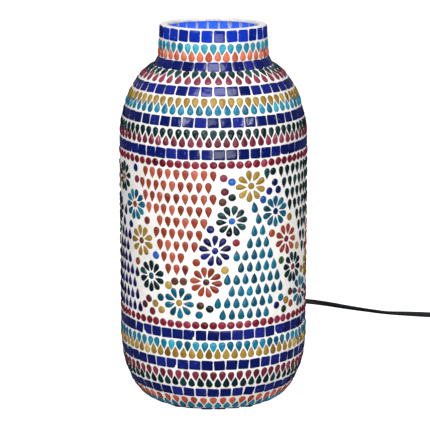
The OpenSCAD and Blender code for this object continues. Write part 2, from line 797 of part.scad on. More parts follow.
module switch_base() {
    color([0.05, 0.05, 0.05])
        translate([0, switch_y, 0])
            difference() {
                union() {
                    difference() {
                        switch_plan(0, part_z);
                        translate([0, 0, shell_wall])
                            switch_plan(-shell_wall, part_z);
                    }
                    for (p = SCREW_PLACES)
                        translate([p[0] + boss_r + cord_w / 2 - 0.2, p[1], shell_wall - eps])
                            cylinder(r = boss_r, h = part_z - shell_wall + eps);
                }
                cord_ports();
                for (p = SCREW_PLACES)
                    translate([p[0] + boss_r + cord_w / 2 - 0.2, p[1], -1]) {
                        cylinder(r = screw_r + 0.1, h = switch_h);
                        cylinder(r = screw_head_r + 0.2, h = 1 + screw_head_h + 0.4);
                    }
            }
}

module switch_cover() {
    color([0.05, 0.05, 0.05])
        translate([0, switch_y, 0])
            difference() {
                union() {
                    difference() {
                        translate([0, 0, part_z])
                            switch_plan(0, switch_h - part_z);
                        translate([0, 0, part_z - 1])
                            switch_plan(-shell_wall, switch_h - part_z + 1 - shell_wall);
                    }
                    for (p = SCREW_PLACES)
                        translate([p[0] + boss_r + cord_w / 2 - 0.2, p[1], part_z])
                            cylinder(r = boss_r, h = switch_h - part_z - shell_wall + eps);
                    for (side = [-1, 1])
                        translate([side * (window_w / 2 + 1.2), 0, rocker_z])
                            rotate([0, 90, 0])
                                cylinder(r = pivot_r + 2, h = 2.4, center = true);
                }
                translate([-window_w / 2, -window_l / 2, part_z - 1])
                    cube([window_w, window_l, switch_h]);
                translate([0, 0, rocker_z])
                    rotate([0, 90, 0])
                        cylinder(r = pivot_r + pivot_gap, h = window_w + 4, center = true);
                cord_ports();
                for (p = SCREW_PLACES)
                    translate([p[0] + boss_r + cord_w / 2 - 0.2, p[1], part_z - 1])
                        cylinder(r = screw_r + 0.02, h = 6);
            }
}

// The rocker stands in its off position: half its travel towards the lamp.
module switch_rocker() {
    color([0.75, 0.10, 0.08])
        translate([0, switch_y, rocker_z])
            rotate([-rocker_travel / 2, 0, 0])
                union() {
                    difference() {
                        rotate([0, 90, 0])
                            cylinder(r = rocker_r, h = rocker_w, center = true);
                        translate([-rocker_w, -rocker_l, 5.2])
                            cube([2 * rocker_w, 2 * rocker_l, 20]);
                        translate([-rocker_w, -rocker_l, -20 - 1.5])
                            cube([2 * rocker_w, 2 * rocker_l, 20]);
                        translate([0, 0, 21.6])
                            rotate([0, 90, 0])
                                cylinder(r = 17.4, h = 2 * rocker_w, center = true);
                    }
                    rotate([0, 90, 0])
                        cylinder(r = pivot_r, h = window_w + 3, center = true);
                }
}

module switch_contacts() {
    color([0.80, 0.70, 0.42])
        for (side = [-1, 1])
            translate([-7.5, switch_y + side * 13 - 4, shell_wall])
                cube([4, 8, 3]);
}

module switch_screws() {
    color([0.72, 0.72, 0.72])
        for (p = SCREW_PLACES)
            translate([p[0] + boss_r + cord_w / 2 - 0.2, switch_y + p[1], 0.4]) {
                cylinder(r = screw_head_r, h = screw_head_h);
                cylinder(r = screw_r, h = part_z + 3);
            }
}

// ---------------------------------------------------------------- plug
plug_x = 307;
plug_y = 194;
plug_l = 34;
plug_w = 34;
plug_h = 13;
plug_neck = 10;
pin_r = 2;
shank_r = 1.6;
shank_l = 8;
shank_gap = 0.02;
pin_l = 19;
pin_gap = 19;

// A flat two-pin plug: its body is a round-ended bar across the cord, on a short neck.
module plug_body() {
    color([0.04, 0.04, 0.04])
        translate([plug_x, plug_y, 0])
            difference() {
                union() {
                    translate([-6, -plug_neck - 1, 0.6])
                        cube([12, plug_neck + 1, plug_h - 3]);
                    translate([0, -plug_neck, plug_h / 2])
                        rotate([90, 0, 0])
                            linear_extrude(plug_l - plug_neck)
                                union() {
                                    square([plug_w - plug_h, plug_h], center = true);
                                    for (side = [-1, 1])
                                        translate([side * (plug_w - plug_h) / 2, 0])
                                            circle(plug_h / 2);
                                }
                }
                for (side = [-1, 1])
                    translate([side * pin_gap / 2, -plug_l + shank_l + 0.3, plug_h / 2])
                        rotate([90, 0, 0])
                            cylinder(r = shank_r + shank_gap, h = 20);
            }
}

module plug_pins() {
    color([0.80, 0.80, 0.78])
        for (side = [-1, 1])
            translate([plug_x + side * pin_gap / 2, plug_y - plug_l, plug_h / 2])
                rotate([90, 0, 0])
                    union() {
                        cylinder(r = pin_r, h = pin_l);
                        translate([0, 0, -shank_l])
                            cylinder(r = shank_r, h = shank_l + 1);
                    }
}

// ---------------------------------------------------------------- cord routes
// A cord's route is a list of [x, y, z, angle of the flat side from upright].
port_depth = 3;
lead_end = switch_y - switch_l / 2 + port_depth;
run_start = switch_y + switch_l / 2 - port_depth;
LEAD_ROUTE = [
    [0, exit_y, hold_z, 90], [0, 66, rest_z(90) + 0.2, 90], [0, 78, rest_z(80), 80], [0, 90, rest_z(50), 50],
    [0, 102, rest_z(20) + 0.4, 20], [0, 114, lie_z + 2, 0], [0, 125, switch_z - 1.5, 0], [0, 133, switch_z, 0],
    [0, lead_end, switch_z, 0]];
function laid(route) = [for (p = route) [p[0], p[1], rest_z(p[2]), p[2]]];
RUN_ROUTE = concat([
    [0, run_start, switch_z, 0], [0, 198, switch_z, 0], [0, 208, switch_z - 1.5, 0], [-1, 220, lie_z + 2, 0],
    [-3, 234, lie_z + 0.4, 0]],
    laid([[-4, 250, 0], [-4, 268, 0], [0, 286, 0], [8, 304, 0], [20, 320, 0], [36, 332, 0], [54, 339, 0],
        [74, 341, 0], [90, 340, 8], [106, 335, 25], [124, 326, 45], [142, 315, 65], [162, 304, 82],
        [184, 293, 88], [206, 286, 55], [228, 280, 20], [250, 275, 0], [271, 269, 0]]));
TAIL_ROUTE = [
    [305.5, 236, coil_h - lie_z, 0], [306.6, 222, coil_h - lie_z - 0.4, 0], [307, 208, plug_h / 2 + 0.3, 0],
    [307, plug_y + 0.15, plug_h / 2, 0]];

glass_vessel();
mortar_bed();
rubber_feet();
for (i = [1:TILE_ROWS])
    tile_row(i);
for (c = DROP_COLOURS)
    band_drops(c);
bead_row(upper_bead_s);  // bead_row_upper
bead_row(lower_bead_s);  // bead_row_lower
for (c = FIELD_COLOURS)
    field_drops(c);
for (c = PETAL_COLOURS)
    petals(c);
flower_beads();
accent_beads(0);  // accent_beads_dark
accent_beads(1);  // accent_beads_bright
lamp_pipe();
pipe_nuts();
steel_washers();
rubber_washers();
holder_cap();
holder_skirt();
holder_porcelain();
holder_screw_shell();
holder_contact();
holder_terminal_screws();
cord_saddle();
bulb_tip();
bulb_insulator();
bulb_screw_cap();
bulb_housing();
bulb_diffuser();
cord_inside();
swept_cord(LEAD_ROUTE);  // cord_lead
swept_cord(RUN_ROUTE);  // cord_run
cord_coil();
swept_cord(TAIL_ROUTE);  // cord_tail
switch_base();
switch_cover();
switch_rocker();
switch_contacts();
switch_screws();
plug_body();
plug_pins();
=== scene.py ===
"""Visual model of a mosaic glass table lamp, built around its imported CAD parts.

The lamp is a blown glass jar skinned with glass tesserae set in white grout, with a bulb inside and a flat twin
cord that carries an inline rocker switch and a plug. All sizes are in metres.
"""

from __future__ import annotations

import json
import logging
import math
import random
from dataclasses import dataclass, field
from enum import Enum
from typing import Callable, Iterable, Sequence

import bmesh
import bpy
import numpy as np
from mathutils import Euler, Matrix, Vector, noise
from mathutils.bvhtree import BVHTree

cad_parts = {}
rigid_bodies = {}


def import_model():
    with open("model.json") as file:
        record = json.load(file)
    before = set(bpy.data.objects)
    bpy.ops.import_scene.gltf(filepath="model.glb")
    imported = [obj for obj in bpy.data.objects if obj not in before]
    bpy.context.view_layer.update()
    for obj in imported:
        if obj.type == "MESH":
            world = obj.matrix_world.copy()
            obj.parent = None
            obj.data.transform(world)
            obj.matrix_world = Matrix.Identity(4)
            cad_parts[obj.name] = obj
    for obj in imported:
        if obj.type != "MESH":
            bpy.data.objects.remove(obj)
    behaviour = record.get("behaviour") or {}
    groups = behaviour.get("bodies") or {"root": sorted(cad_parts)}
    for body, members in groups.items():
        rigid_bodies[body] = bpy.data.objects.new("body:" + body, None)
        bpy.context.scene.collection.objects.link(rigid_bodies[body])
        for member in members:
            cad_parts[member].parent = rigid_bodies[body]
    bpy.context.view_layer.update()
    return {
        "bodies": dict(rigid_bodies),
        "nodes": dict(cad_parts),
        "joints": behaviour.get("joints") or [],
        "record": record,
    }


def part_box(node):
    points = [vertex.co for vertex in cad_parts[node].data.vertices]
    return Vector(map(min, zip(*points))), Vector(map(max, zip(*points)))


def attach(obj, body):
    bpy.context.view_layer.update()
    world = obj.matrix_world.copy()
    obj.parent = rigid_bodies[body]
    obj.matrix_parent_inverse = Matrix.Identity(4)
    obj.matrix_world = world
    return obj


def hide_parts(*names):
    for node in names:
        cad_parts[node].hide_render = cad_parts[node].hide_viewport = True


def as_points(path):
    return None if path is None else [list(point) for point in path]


log = logging.getLogger("mosaic_lamp")

Colour = tuple[float, float, float]


class Body(Enum):
    """The rigid bodies that pieces ride on."""

    LAMP = "lamp"
    BULB = "bulb"
    BULB_CENTRE = "bulb_centre"
    ROCKER = "rocker"


class Shape(Enum):
    """The three cuts of glass in the mosaic."""

    TILE = "tile"
    DROP = "drop"
    BEAD = "bead"


# ------------------------------------------------------------------ shader building


class Shader:
    """A material's node tree, with short calls for the nodes that the finishes use."""

    def __init__(self, name: str) -> None:
        """Starts an empty Principled material.

        Args:
            name: the material's name.
        """
        self.material = bpy.data.materials.new(name)
        self.material.use_nodes = True
        self.tree = self.material.node_tree
        self.tree.nodes.clear()
        self.output = self.tree.nodes.new("ShaderNodeOutputMaterial")
        self.surface = self.tree.nodes.new("ShaderNodeBsdfPrincipled")
        self.link(self.surface.outputs[0], self.output.inputs["Surface"])
        self._place: bpy.types.NodeSocket | None = None

    def link(self, source: bpy.types.NodeSocket, target: bpy.types.NodeSocket) -> None:
        """Joins two sockets."""
        self.tree.links.new(source, target)

    def set(self, **values: object) -> None:
        """Sets numbers and colours on the Principled shader's own sockets.

        Args:
            values: socket names with underscores for spaces, and their values.
        """
        for name, value in values.items():
            socket = self.surface.inputs[name.replace("_", " ")]
            socket.default_value = (*value, 1.0) if socket.type == "RGBA" else value

    def place(self) -> bpy.types.NodeSocket:
        """Returns the Object coordinate socket."""
        if self._place is None:
            self._place = self.tree.nodes.new("ShaderNodeTexCoord").outputs["Object"]
        return self._place

    def attribute(self, name: str) -> bpy.types.NodeSocket:
        """Returns the Fac output of one of the piece's own attributes."""
        node = self.tree.nodes.new("ShaderNodeAttribute")
        node.attribute_name = name
        return node.outputs["Fac"]

    def noise(self, scale: float, detail: float = 3.0, roughness: float = 0.5,
              stretch: tuple[float, float, float] | None = None) -> bpy.types.NodeSocket:
        """Adds a noise texture in Object coordinates.

        Args:
            scale: cells per metre.
            detail: octaves.
            roughness: weight of the small octaves.
            stretch: scale per axis, for grain that runs one way.

        Returns:
            The texture's factor socket.
        """
        node = self.tree.nodes.new("ShaderNodeTexNoise")
        node.inputs["Scale"].default_value = scale
        node.inputs["Detail"].default_value = detail
        node.inputs["Roughness"].default_value = roughness
        source = self.place()
        if stretch is not None:
            mapping = self.tree.nodes.new("ShaderNodeMapping")
            mapping.inputs["Scale"].default_value = stretch
            self.link(source, mapping.inputs["Vector"])
            source = mapping.outputs["Vector"]
        self.link(source, node.inputs["Vector"])
        return node.outputs["Fac"]

    def cells(self, scale: float) -> bpy.types.NodeSocket:
        """Adds a Voronoi texture in Object coordinates and returns its distance socket."""
        node = self.tree.nodes.new("ShaderNodeTexVoronoi")
        node.inputs["Scale"].default_value = scale
        self.link(self.place(), node.inputs["Vector"])
        return node.outputs["Distance"]

    def ramp(self, source: bpy.types.NodeSocket, stops: Sequence[tuple[float, Colour]]) -> bpy.types.NodeSocket:
        """Turns a factor into a colour.

        Args:
            source: the factor.
            stops: positions and colours, lowest first.

        Returns:
            The ramp's colour socket.
        """
        node = self.tree.nodes.new("ShaderNodeValToRGB")
        ramp = node.color_ramp
        while len(ramp.elements) < len(stops):
            ramp.elements.new(0.5)
        for element, (position, colour) in zip(ramp.elements, stops):
            element.position = position
            element.color = (*colour, 1.0)
        self.link(source, node.inputs["Fac"])
        return node.outputs["Color"]

    def mix(self, factor: bpy.types.NodeSocket, a: bpy.types.NodeSocket, b: bpy.types.NodeSocket,
            kind: str = "MIX") -> bpy.types.NodeSocket:
        """Mixes two colours and returns the result's socket."""
        node = self.tree.nodes.new("ShaderNodeMix")
        node.data_type = "RGBA"
        node.blend_type = kind
        self.link(factor, node.inputs["Factor"])
        self.link(a, node.inputs["A"])
        self.link(b, node.inputs["B"])
        return node.outputs["Result"]

    def remap(self, source: bpy.types.NodeSocket, low: float, high: float,
              from_low: float = 0.0, from_high: float = 1.0) -> bpy.types.NodeSocket:
        """Maps a factor to a range and returns the result's socket."""
        node = self.tree.nodes.new("ShaderNodeMapRange")
        node.inputs["From Min"].default_value = from_low
        node.inputs["From Max"].default_value = from_high
        node.inputs["To Min"].default_value = low
        node.inputs["To Max"].default_value = high
        self.link(source, node.inputs["Value"])
        return node.outputs["Result"]

    def add(self, a: bpy.types.NodeSocket, b: bpy.types.NodeSocket) -> bpy.types.NodeSocket:
        """Adds two factors and returns the sum's socket."""
        node = self.tree.nodes.new("ShaderNodeMath")
        node.operation = "ADD"
        self.link(a, node.inputs[0])
        self.link(b, node.inputs[1])
        return node.outputs[0]

    def times(self, a: bpy.types.NodeSocket, factor: float) -> bpy.types.NodeSocket:
        """Multiplies a factor by a number and returns the product's socket."""
        node = self.tree.nodes.new("ShaderNodeMath")
        node.operation = "MULTIPLY"
        node.inputs[1].default_value = factor
        self.link(a, node.inputs[0])
        return node.outputs[0]

    def colour(self, source: bpy.types.NodeSocket) -> None:
        """Drives the base colour."""
        self.link(source, self.surface.inputs["Base Color"])

    def rough(self, source: bpy.types.NodeSocket) -> None:
        """Drives the roughness."""
        self.link(source, self.surface.inputs["Roughness"])

    def bump(self, source: bpy.types.NodeSocket, distance: float, strength: float = 1.0) -> None:
        """Drives the normal from a height.

        Args:
            source: the height, from 0 to 1.
            distance: metres of relief between 0 and 1.
            strength: how much of it shows.
        """
        node = self.tree.nodes.new("ShaderNodeBump")
        node.inputs["Distance"].default_value = distance
        node.inputs["Strength"].default_value = strength
        self.link(source, node.inputs["Height"])
        self.link(node.outputs["Normal"], self.surface.inputs["Normal"])


# ------------------------------------------------------------------ finishes


@dataclass(frozen=True)
class GlassCutFinish:
    """Coloured glass of the tesserae: glossy, cloudy in the melt, with painted shade darkening the cut edge."""

    name: str
    deep: Colour
    body: Colour
    light: Colour
    roughness: float = 0.06
    dimples: float = 0.00003
    dimple_scale: float = 700.0
    specks: float = 0.0
    gloss: float = 0.35

    def build(self) -> bpy.types.Material:
        """Builds the material.

        Returns:
            The material, which reads the pieces' tint attribute, lighter on the upper tesserae as painted light from
            above, and their dome attribute, which places the painted shade at the cut edge.
        """
        s = Shader(self.name)
        melt = s.noise(260.0, 4.0, 0.6)
        depth = s.add(s.times(s.attribute("tint"), 0.6), s.times(melt, 0.4))
        glass = s.ramp(depth, [(0.2, self.deep), (0.5, self.body), (0.85, self.light)])
        # painted shade: where the dome attribute is low, at the cut edge, the glass is mixed towards a darker copy of
        # its deep colour
        rim = s.ramp(depth, [(0.3, tuple(c * 0.45 for c in self.deep)), (0.8, self.deep)])
        colour = s.mix(s.remap(s.attribute("dome"), 0.0, 1.0, 0.0, 0.6), rim, glass)
        if self.specks:
            # lighter flecks: partly the glass's own flecks, partly painted glints where they sparkle
            fleck_mask = s.remap(s.cells(290.0), 1.0, 0.0, 0.1, 0.2)
            fleck_glint = s.ramp(s.noise(170.0, 2.0), [(0.5, self.body), (0.58, tuple(c + 0.16 for c in self.light))])
            colour = s.mix(s.times(fleck_mask, self.specks), colour, fleck_glint)
        s.colour(colour)
        s.rough(s.remap(s.noise(900.0), self.roughness * 0.6, self.roughness * 1.6))
        swell = s.add(s.times(s.noise(self.dimple_scale * 0.45, 1.0), 1.2), s.cells(self.dimple_scale))
        s.bump(swell, self.dimples)
        s.set(IOR=1.5, Specular_IOR_Level=self.gloss)
        return s.material


@dataclass(frozen=True)
class BackFinish:
    """The back of a blue tile with daylight coming through it."""

    name: str
    body: Colour
    light: Colour
    glow: float

    def build(self) -> bpy.types.Material:
        """Builds the material, brighter towards the middle of each tile."""
        s = Shader(self.name)
        # painted light: the back is brighter towards the middle of each tile, over some cloud in the glass
        cloud_and_glow = s.add(s.times(s.attribute("dome"), 0.6), s.times(s.noise(320.0, 3.0), 0.5))
        colour = s.ramp(cloud_and_glow, [(0.2, self.body), (0.9, self.light)])
        s.colour(colour)
        # painted light: the colour is also emitted, as a glow for the daylight through the tile
        s.link(colour, s.surface.inputs["Emission Color"])
        s.rough(s.remap(s.noise(500.0), 0.2, 0.4))
        s.set(Emission_Strength=self.glow, Specular_IOR_Level=0.2)
        return s.material


@dataclass(frozen=True)
class GroutFinish:
    """White cement grout: matt, sandy, faintly stained."""

    name: str
    white: Colour
    stain: Colour

    def build(self) -> bpy.types.Material:
        """Builds the material."""
        s = Shader(self.name)
        patches = s.noise(60.0, 5.0, 0.6)
        specks = s.noise(2600.0, 2.0)
        base = s.ramp(patches, [(0.35, self.stain), (0.62, self.white)])
        dirt = s.ramp(specks, [(0.28, tuple(c * 0.86 for c in self.stain)), (0.42, (1.0, 1.0, 1.0))])
        s.colour(s.mix(s.remap(specks, 1.0, 0.6), base, dirt, "MULTIPLY"))
        s.rough(s.remap(s.noise(800.0), 0.62, 0.92))
        s.bump(s.add(s.noise(2200.0, 4.0, 0.7), s.times(s.noise(420.0, 2.0), 1.6)), 0.00016)
        s.set(Specular_IOR_Level=0.3)
        return s.material


@dataclass(frozen=True)
class MouldedFinish:
    """Moulded plastic or rubber: fine grain, soft gloss changes, lighter handling marks."""

    name: str
    body: Colour
    worn: Colour
    roughness: float
    grain: float = 2400.0
    relief: float = 0.00003
    coat: float = 0.0
    gloss: float = 0.5

    def build(self) -> bpy.types.Material:
        """Builds the material."""
        s = Shader(self.name)
        marks = s.add(s.times(s.noise(45.0, 5.0, 0.65), 0.7), s.times(s.noise(600.0, 2.0), 0.3))
        s.colour(s.ramp(marks, [(0.42, self.body), (0.75, self.worn)]))
        s.rough(s.remap(s.noise(180.0, 3.0), self.roughness * 0.8, min(1.0, self.roughness * 1.25)))
        s.bump(s.cells(self.grain), self.relief)
        s.set(Coat_Weight=self.coat, Coat_Roughness=0.12, Specular_IOR_Level=self.gloss)
        return s.material


@dataclass(frozen=True)
class MetalFinish:
    """Plated or turned metal: tool marks round the axis, and tarnish in patches."""

    name: str
    bright: Colour
    tarnish: Colour
    roughness: float
    stretch: tuple[float, float, float] = (1.0, 1.0, 12.0)

    def build(self) -> bpy.types.Material:
        """Builds the material."""
        s = Shader(self.name)
        s.colour(s.ramp(s.noise(90.0, 5.0, 0.6), [(0.35, self.tarnish), (0.6, self.bright)]))
        turned = s.noise(420.0, 3.0, 0.6, self.stretch)
        s.rough(s.remap(turned, self.roughness * 0.7, self.roughness * 1.5))
        s.bump(turned, 0.00002)
        s.set(Metallic=1.0)
        return s.material


@dataclass(frozen=True)
class ClearGlassFinish:
    """Clear blown glass, seen through the open neck: tinted, with slow ripples."""

    name: str
    tint: Colour
    alpha: float

    def build(self) -> bpy.types.Material:
        """Builds the material."""
        s = Shader(self.name)
        edge = tuple(c * 0.75 for c in self.tint)
        s.colour(s.ramp(s.noise(30.0, 2.0), [(0.3, edge), (0.7, self.tint)]))
        s.rough(s.remap(s.noise(70.0, 2.0), 0.02, 0.07))
        s.bump(s.noise(55.0, 2.0), 0.0004)
        s.set(IOR=1.5, Alpha=self.alpha, Coat_Weight=0.4, Coat_Roughness=0.02)
        return s.material


@dataclass(frozen=True)
class OpalFinish:
    """Opal plastic or glazed porcelain: bright, faintly mottled, softly glossy."""

    name: str
    body: Colour
    shade: Colour
    roughness: float
    coat: float

    def build(self) -> bpy.types.Material:
        """Builds the material."""
        s = Shader(self.name)
        s.colour(s.ramp(s.noise(120.0, 4.0), [(0.3, self.shade), (0.65, self.body)]))
        s.rough(s.remap(s.noise(300.0, 2.0), self.roughness * 0.8, self.roughness * 1.3))
        s.bump(s.noise(700.0, 2.0), 0.00003)
        s.set(Coat_Weight=self.coat, Coat_Roughness=0.06, Subsurface_Weight=0.15, Subsurface_Radius=(0.004, 0.004, 0.004))
        return s.material


GLASS: dict[str, GlassCutFinish] = {
    # painted light: a lighter copy of the navy glass for the top ring of tiles, as lit from above
    "navy_lit_top": GlassCutFinish("navy_glass_lit_top", (0.0005, 0.005, 0.1), (0.001, 0.01, 0.19), (0.004, 0.035, 0.48),
                            roughness=0.08, dimples=0.00004, dimple_scale=900.0, specks=0.6),
    "navy": GlassCutFinish("navy_glass", (0.0005, 0.003, 0.06), (0.001, 0.007, 0.1), (0.012, 0.02, 0.24),
                           roughness=0.08, dimples=0.00004, dimple_scale=900.0, specks=0.6),
    "ink": GlassCutFinish("ink_glass", (0.0005, 0.001, 0.03), (0.001, 0.002, 0.06), (0.012, 0.014, 0.18)),
    "sky": GlassCutFinish("sky_turquoise_glass", (0.0, 0.06, 0.11), (0.001, 0.15, 0.26), (0.03, 0.42, 0.55)),
    "flame": GlassCutFinish("flame_glass", (0.24, 0.022, 0.01), (0.48, 0.075, 0.03), (0.75, 0.18, 0.09)),
    "turquoise": GlassCutFinish("turquoise_glass", (0.0, 0.04, 0.075), (0.0, 0.078, 0.14), (0.006, 0.22, 0.34)),
    "orange": GlassCutFinish("orange_glass", (0.14, 0.014, 0.006), (0.29, 0.042, 0.018), (0.52, 0.12, 0.07)),
    "green": GlassCutFinish("dark_green_glass", (0.0, 0.005, 0.007), (0.001, 0.016, 0.02), (0.008, 0.06, 0.065)),
    "maroon": GlassCutFinish("maroon_glass", (0.05, 0.003, 0.01), (0.13, 0.012, 0.028), (0.3, 0.04, 0.09)),
    "crimson": GlassCutFinish("crimson_glass", (0.08, 0.001, 0.008), (0.17, 0.006, 0.022), (0.32, 0.03, 0.07)),
    "gold": GlassCutFinish("gold_glass", (0.14, 0.065, 0.002), (0.29, 0.165, 0.014), (0.5, 0.36, 0.08)),
    "blue": GlassCutFinish("blue_glass", (0.002, 0.02, 0.15), (0.004, 0.07, 0.35), (0.03, 0.18, 0.6)),
    "brown": GlassCutFinish("brown_glass", (0.03, 0.008, 0.004), (0.08, 0.025, 0.014), (0.18, 0.07, 0.04)),
    "leaf": GlassCutFinish("leaf_green_glass", (0.004, 0.028, 0.004), (0.02, 0.09, 0.015), (0.1, 0.25, 0.05)),
}


class Workshop:
    """The finishes, each built once when it is first asked for."""

    def __init__(self) -> None:
        """Starts with no material built."""
        self._made: dict[str, bpy.types.Material] = {}
        self._recipes: dict[str, Callable[[], bpy.types.Material]] = {
            "back": BackFinish("blue_tile_back", (0.0, 0.015, 0.5), (0.0, 0.09, 0.95), 0.8).build,
            "grout": GroutFinish("white_grout", (0.9, 0.875, 0.845), (0.8, 0.775, 0.74)).build,
            "jar": ClearGlassFinish("clear_blown_glass", (0.3, 0.5, 0.75), 0.12).build,
            "rubber": MouldedFinish("black_rubber", (0.015, 0.015, 0.015), (0.04, 0.04, 0.04), 0.75).build,
            "plastic": MouldedFinish("black_moulding", (0.012, 0.012, 0.013), (0.035, 0.035, 0.036), 0.42).build,
            "rocker": MouldedFinish("red_moulding", (0.42, 0.012, 0.01), (0.55, 0.05, 0.04), 0.3, coat=0.3).build,
            "vinyl": MouldedFinish("cord_vinyl", (0.002, 0.004, 0.006), (0.005, 0.008, 0.011), 0.4, 1400.0,
                                    gloss=0.2).build,
            "white": MouldedFinish("white_moulding", (0.8, 0.8, 0.78), (0.72, 0.72, 0.7), 0.35, coat=0.2).build,
            "zinc": MetalFinish("zinc_steel", (0.62, 0.62, 0.6), (0.4, 0.4, 0.38), 0.32).build,
            "brass": MetalFinish("brass", (0.75, 0.55, 0.24), (0.5, 0.33, 0.13), 0.25).build,
            "nickel": MetalFinish("nickelled_brass", (0.72, 0.7, 0.66), (0.5, 0.48, 0.44), 0.2).build,
            "porcelain": OpalFinish("porcelain", (0.84, 0.83, 0.8), (0.74, 0.73, 0.7), 0.25, 0.6).build,
            "opal": OpalFinish("opal_globe", (0.93, 0.93, 0.9), (0.88, 0.88, 0.85), 0.45, 0.1).build,
            "vitrite": MouldedFinish("black_vitrite", (0.004, 0.004, 0.004), (0.01, 0.01, 0.012), 0.12, coat=0.8).build,
        }
        for key, finish in GLASS.items():
            self._recipes[key] = finish.build

    def get(self, key: str) -> bpy.types.Material:
        """Returns a finish's material, building it once."""
        if key not in self._made:
            self._made[key] = self._recipes[key]()
        return self._made[key]


# ------------------------------------------------------------------ mesh helpers


def new_object(name: str, mesh: bpy.types.Mesh) -> bpy.types.Object:
    """Links a mesh to the scene as an object at the origin.

    Args:
        name: the object's name.
        mesh: its mesh.

    Returns:
        The object.
    """
    obj = bpy.data.objects.new(name, mesh)
    bpy.context.scene.collection.objects.link(obj)
    return obj


def smooth(mesh: bpy.types.Mesh, angle: float = 35.0) -> None:
    """Shades a mesh smooth with sharp edges over an angle.

    Args:
        mesh: the mesh.
        angle: the sharpest smooth edge, in degrees.
    """
    mesh.polygons.foreach_set("use_smooth", [True] * len(mesh.polygons))
    bm = bmesh.new()
    bm.from_mesh(mesh)
    limit = math.radians(angle)
    for edge in bm.edges:
        edge.smooth = len(edge.link_faces) == 2 and edge.calc_face_angle(0.0) <= limit
    bm.to_mesh(mesh)
    bm.free()


def lathe(name: str, profile: Sequence[tuple[float, float]], steps: int = 96, closed: bool = True,
          wobble: Callable[[float, float, float], float] | None = None) -> bpy.types.Object:
    """Turns a profile round the Z axis into a shell.

    Args:
        name: the object's name.
        profile: radius and height, anticlockwise as seen with the axis on the left.
        steps: faces round the axis.
        closed: whether the last point joins the first.
        wobble: change of radius for a place, given as angle, radius and height.

    Returns:
        The object, with its faces outwards.
    """
    bm = bmesh.new()
    rings: list[list[bmesh.types.BMVert]] = []
    for radius, height in profile:
        if radius < 1e-7:
            rings.append([bm.verts.new((0.0, 0.0, height))])
            continue
        ring = []
        for i in range(steps):
            angle = 2 * math.pi * i / steps
            r = radius + (wobble(angle, radius, height) if wobble else 0.0)
            ring.append(bm.verts.new((r * math.cos(angle), r * math.sin(angle), height)))
        rings.append(ring)
    pairs = list(zip(rings, rings[1:])) + ([(rings[-1], rings[0])] if closed else [])
    for a, b in pairs:
        for i in range(steps):
            j = (i + 1) % steps
            corners = [a[i % len(a)], a[j % len(a)], b[j % len(b)], b[i % len(b)]]
            unique = list(dict.fromkeys(corners))
            if len(unique) > 2:
                bm.faces.new(unique)
    bmesh.ops.recalc_face_normals(bm, faces=bm.faces)
    mesh = bpy.data.meshes.new(name)
    bm.to_mesh(mesh)
    bm.free()
    smooth(mesh)
    return new_object(name, mesh)


def finish_piece(obj: bpy.types.Object, body: Body, material: bpy.types.Material, slot: str,
                 replaces: Iterable[str] = ()) -> bpy.types.Object:
    """Dresses a piece and makes it ride on its body.

    Args:
        obj: the piece.
        body: the body it moves with.
        material: its finish.
        slot: the record's material slot; not used.
        replaces: the CAD nodes it stands for.

    Returns:
        The piece.
    """
    obj.data.materials.clear()
    obj.data.materials.append(material)
    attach(obj, body.value)
    nodes = list(replaces)
    if nodes:
        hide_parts(*nodes)
    return obj


def dress_node(frame: dict, node: str, material: bpy.types.Material) -> None:
    """Gives a CAD node that stays in view its finish."""
    obj = frame["nodes"][node]
    if not obj.data.materials:
        obj.data.materials.append(material)
    for i in range(len(obj.data.materials)):
        obj.data.materials[i] = material


# ------------------------------------------------------------------ reading the seats of the tesserae


@dataclass(frozen=True)
class Seat:
    """Where one tessera's outer face lies: its middle, its outward normal, and the way its point or top edge faces."""

    middle: Vector
    out: Vector
    point: Vector
    length: float
    width: float

    @property
    def angle(self) -> float:
        """How far round the jar the seat is, in degrees to the right of the front."""
        return math.degrees(math.atan2(self.middle.x, -self.middle.y))


def islands(obj: bpy.types.Object) -> list[np.ndarray]:
    """Splits a CAD node's loose triangles into its separate solids.

    Args:
        obj: the node's object.

    Returns:
        One array of triangles, each three points, per solid, in a fixed order.
    """
    mesh = obj.data
    mesh.calc_loop_triangles()
    co = np.empty(len(mesh.vertices) * 3)
    mesh.vertices.foreach_get("co", co)
    tri = np.empty(len(mesh.loop_triangles) * 3, dtype=np.int64)
    mesh.loop_triangles.foreach_get("vertices", tri)
    points = co.reshape(-1, 3)
    _, same = np.unique(np.round(points, 6), axis=0, return_inverse=True)
    same = same.reshape(-1)
    faces = same[tri].reshape(-1, 3)
    label = np.arange(same.max() + 1)
    while True:
        low = label[faces].min(axis=1)
        new = label.copy()
        np.minimum.at(new, faces.reshape(-1), np.repeat(low, 3))
        new = new[new]
        if np.array_equal(new, label):
            break
        label = new
    owner = label[faces[:, 0]]
    corners = points[tri].reshape(-1, 3, 3)
    solids = [corners[owner == k] for k in np.unique(owner)]
    return sorted(solids, key=lambda s: tuple(np.round(s.reshape(-1, 3).mean(axis=0), 5)))


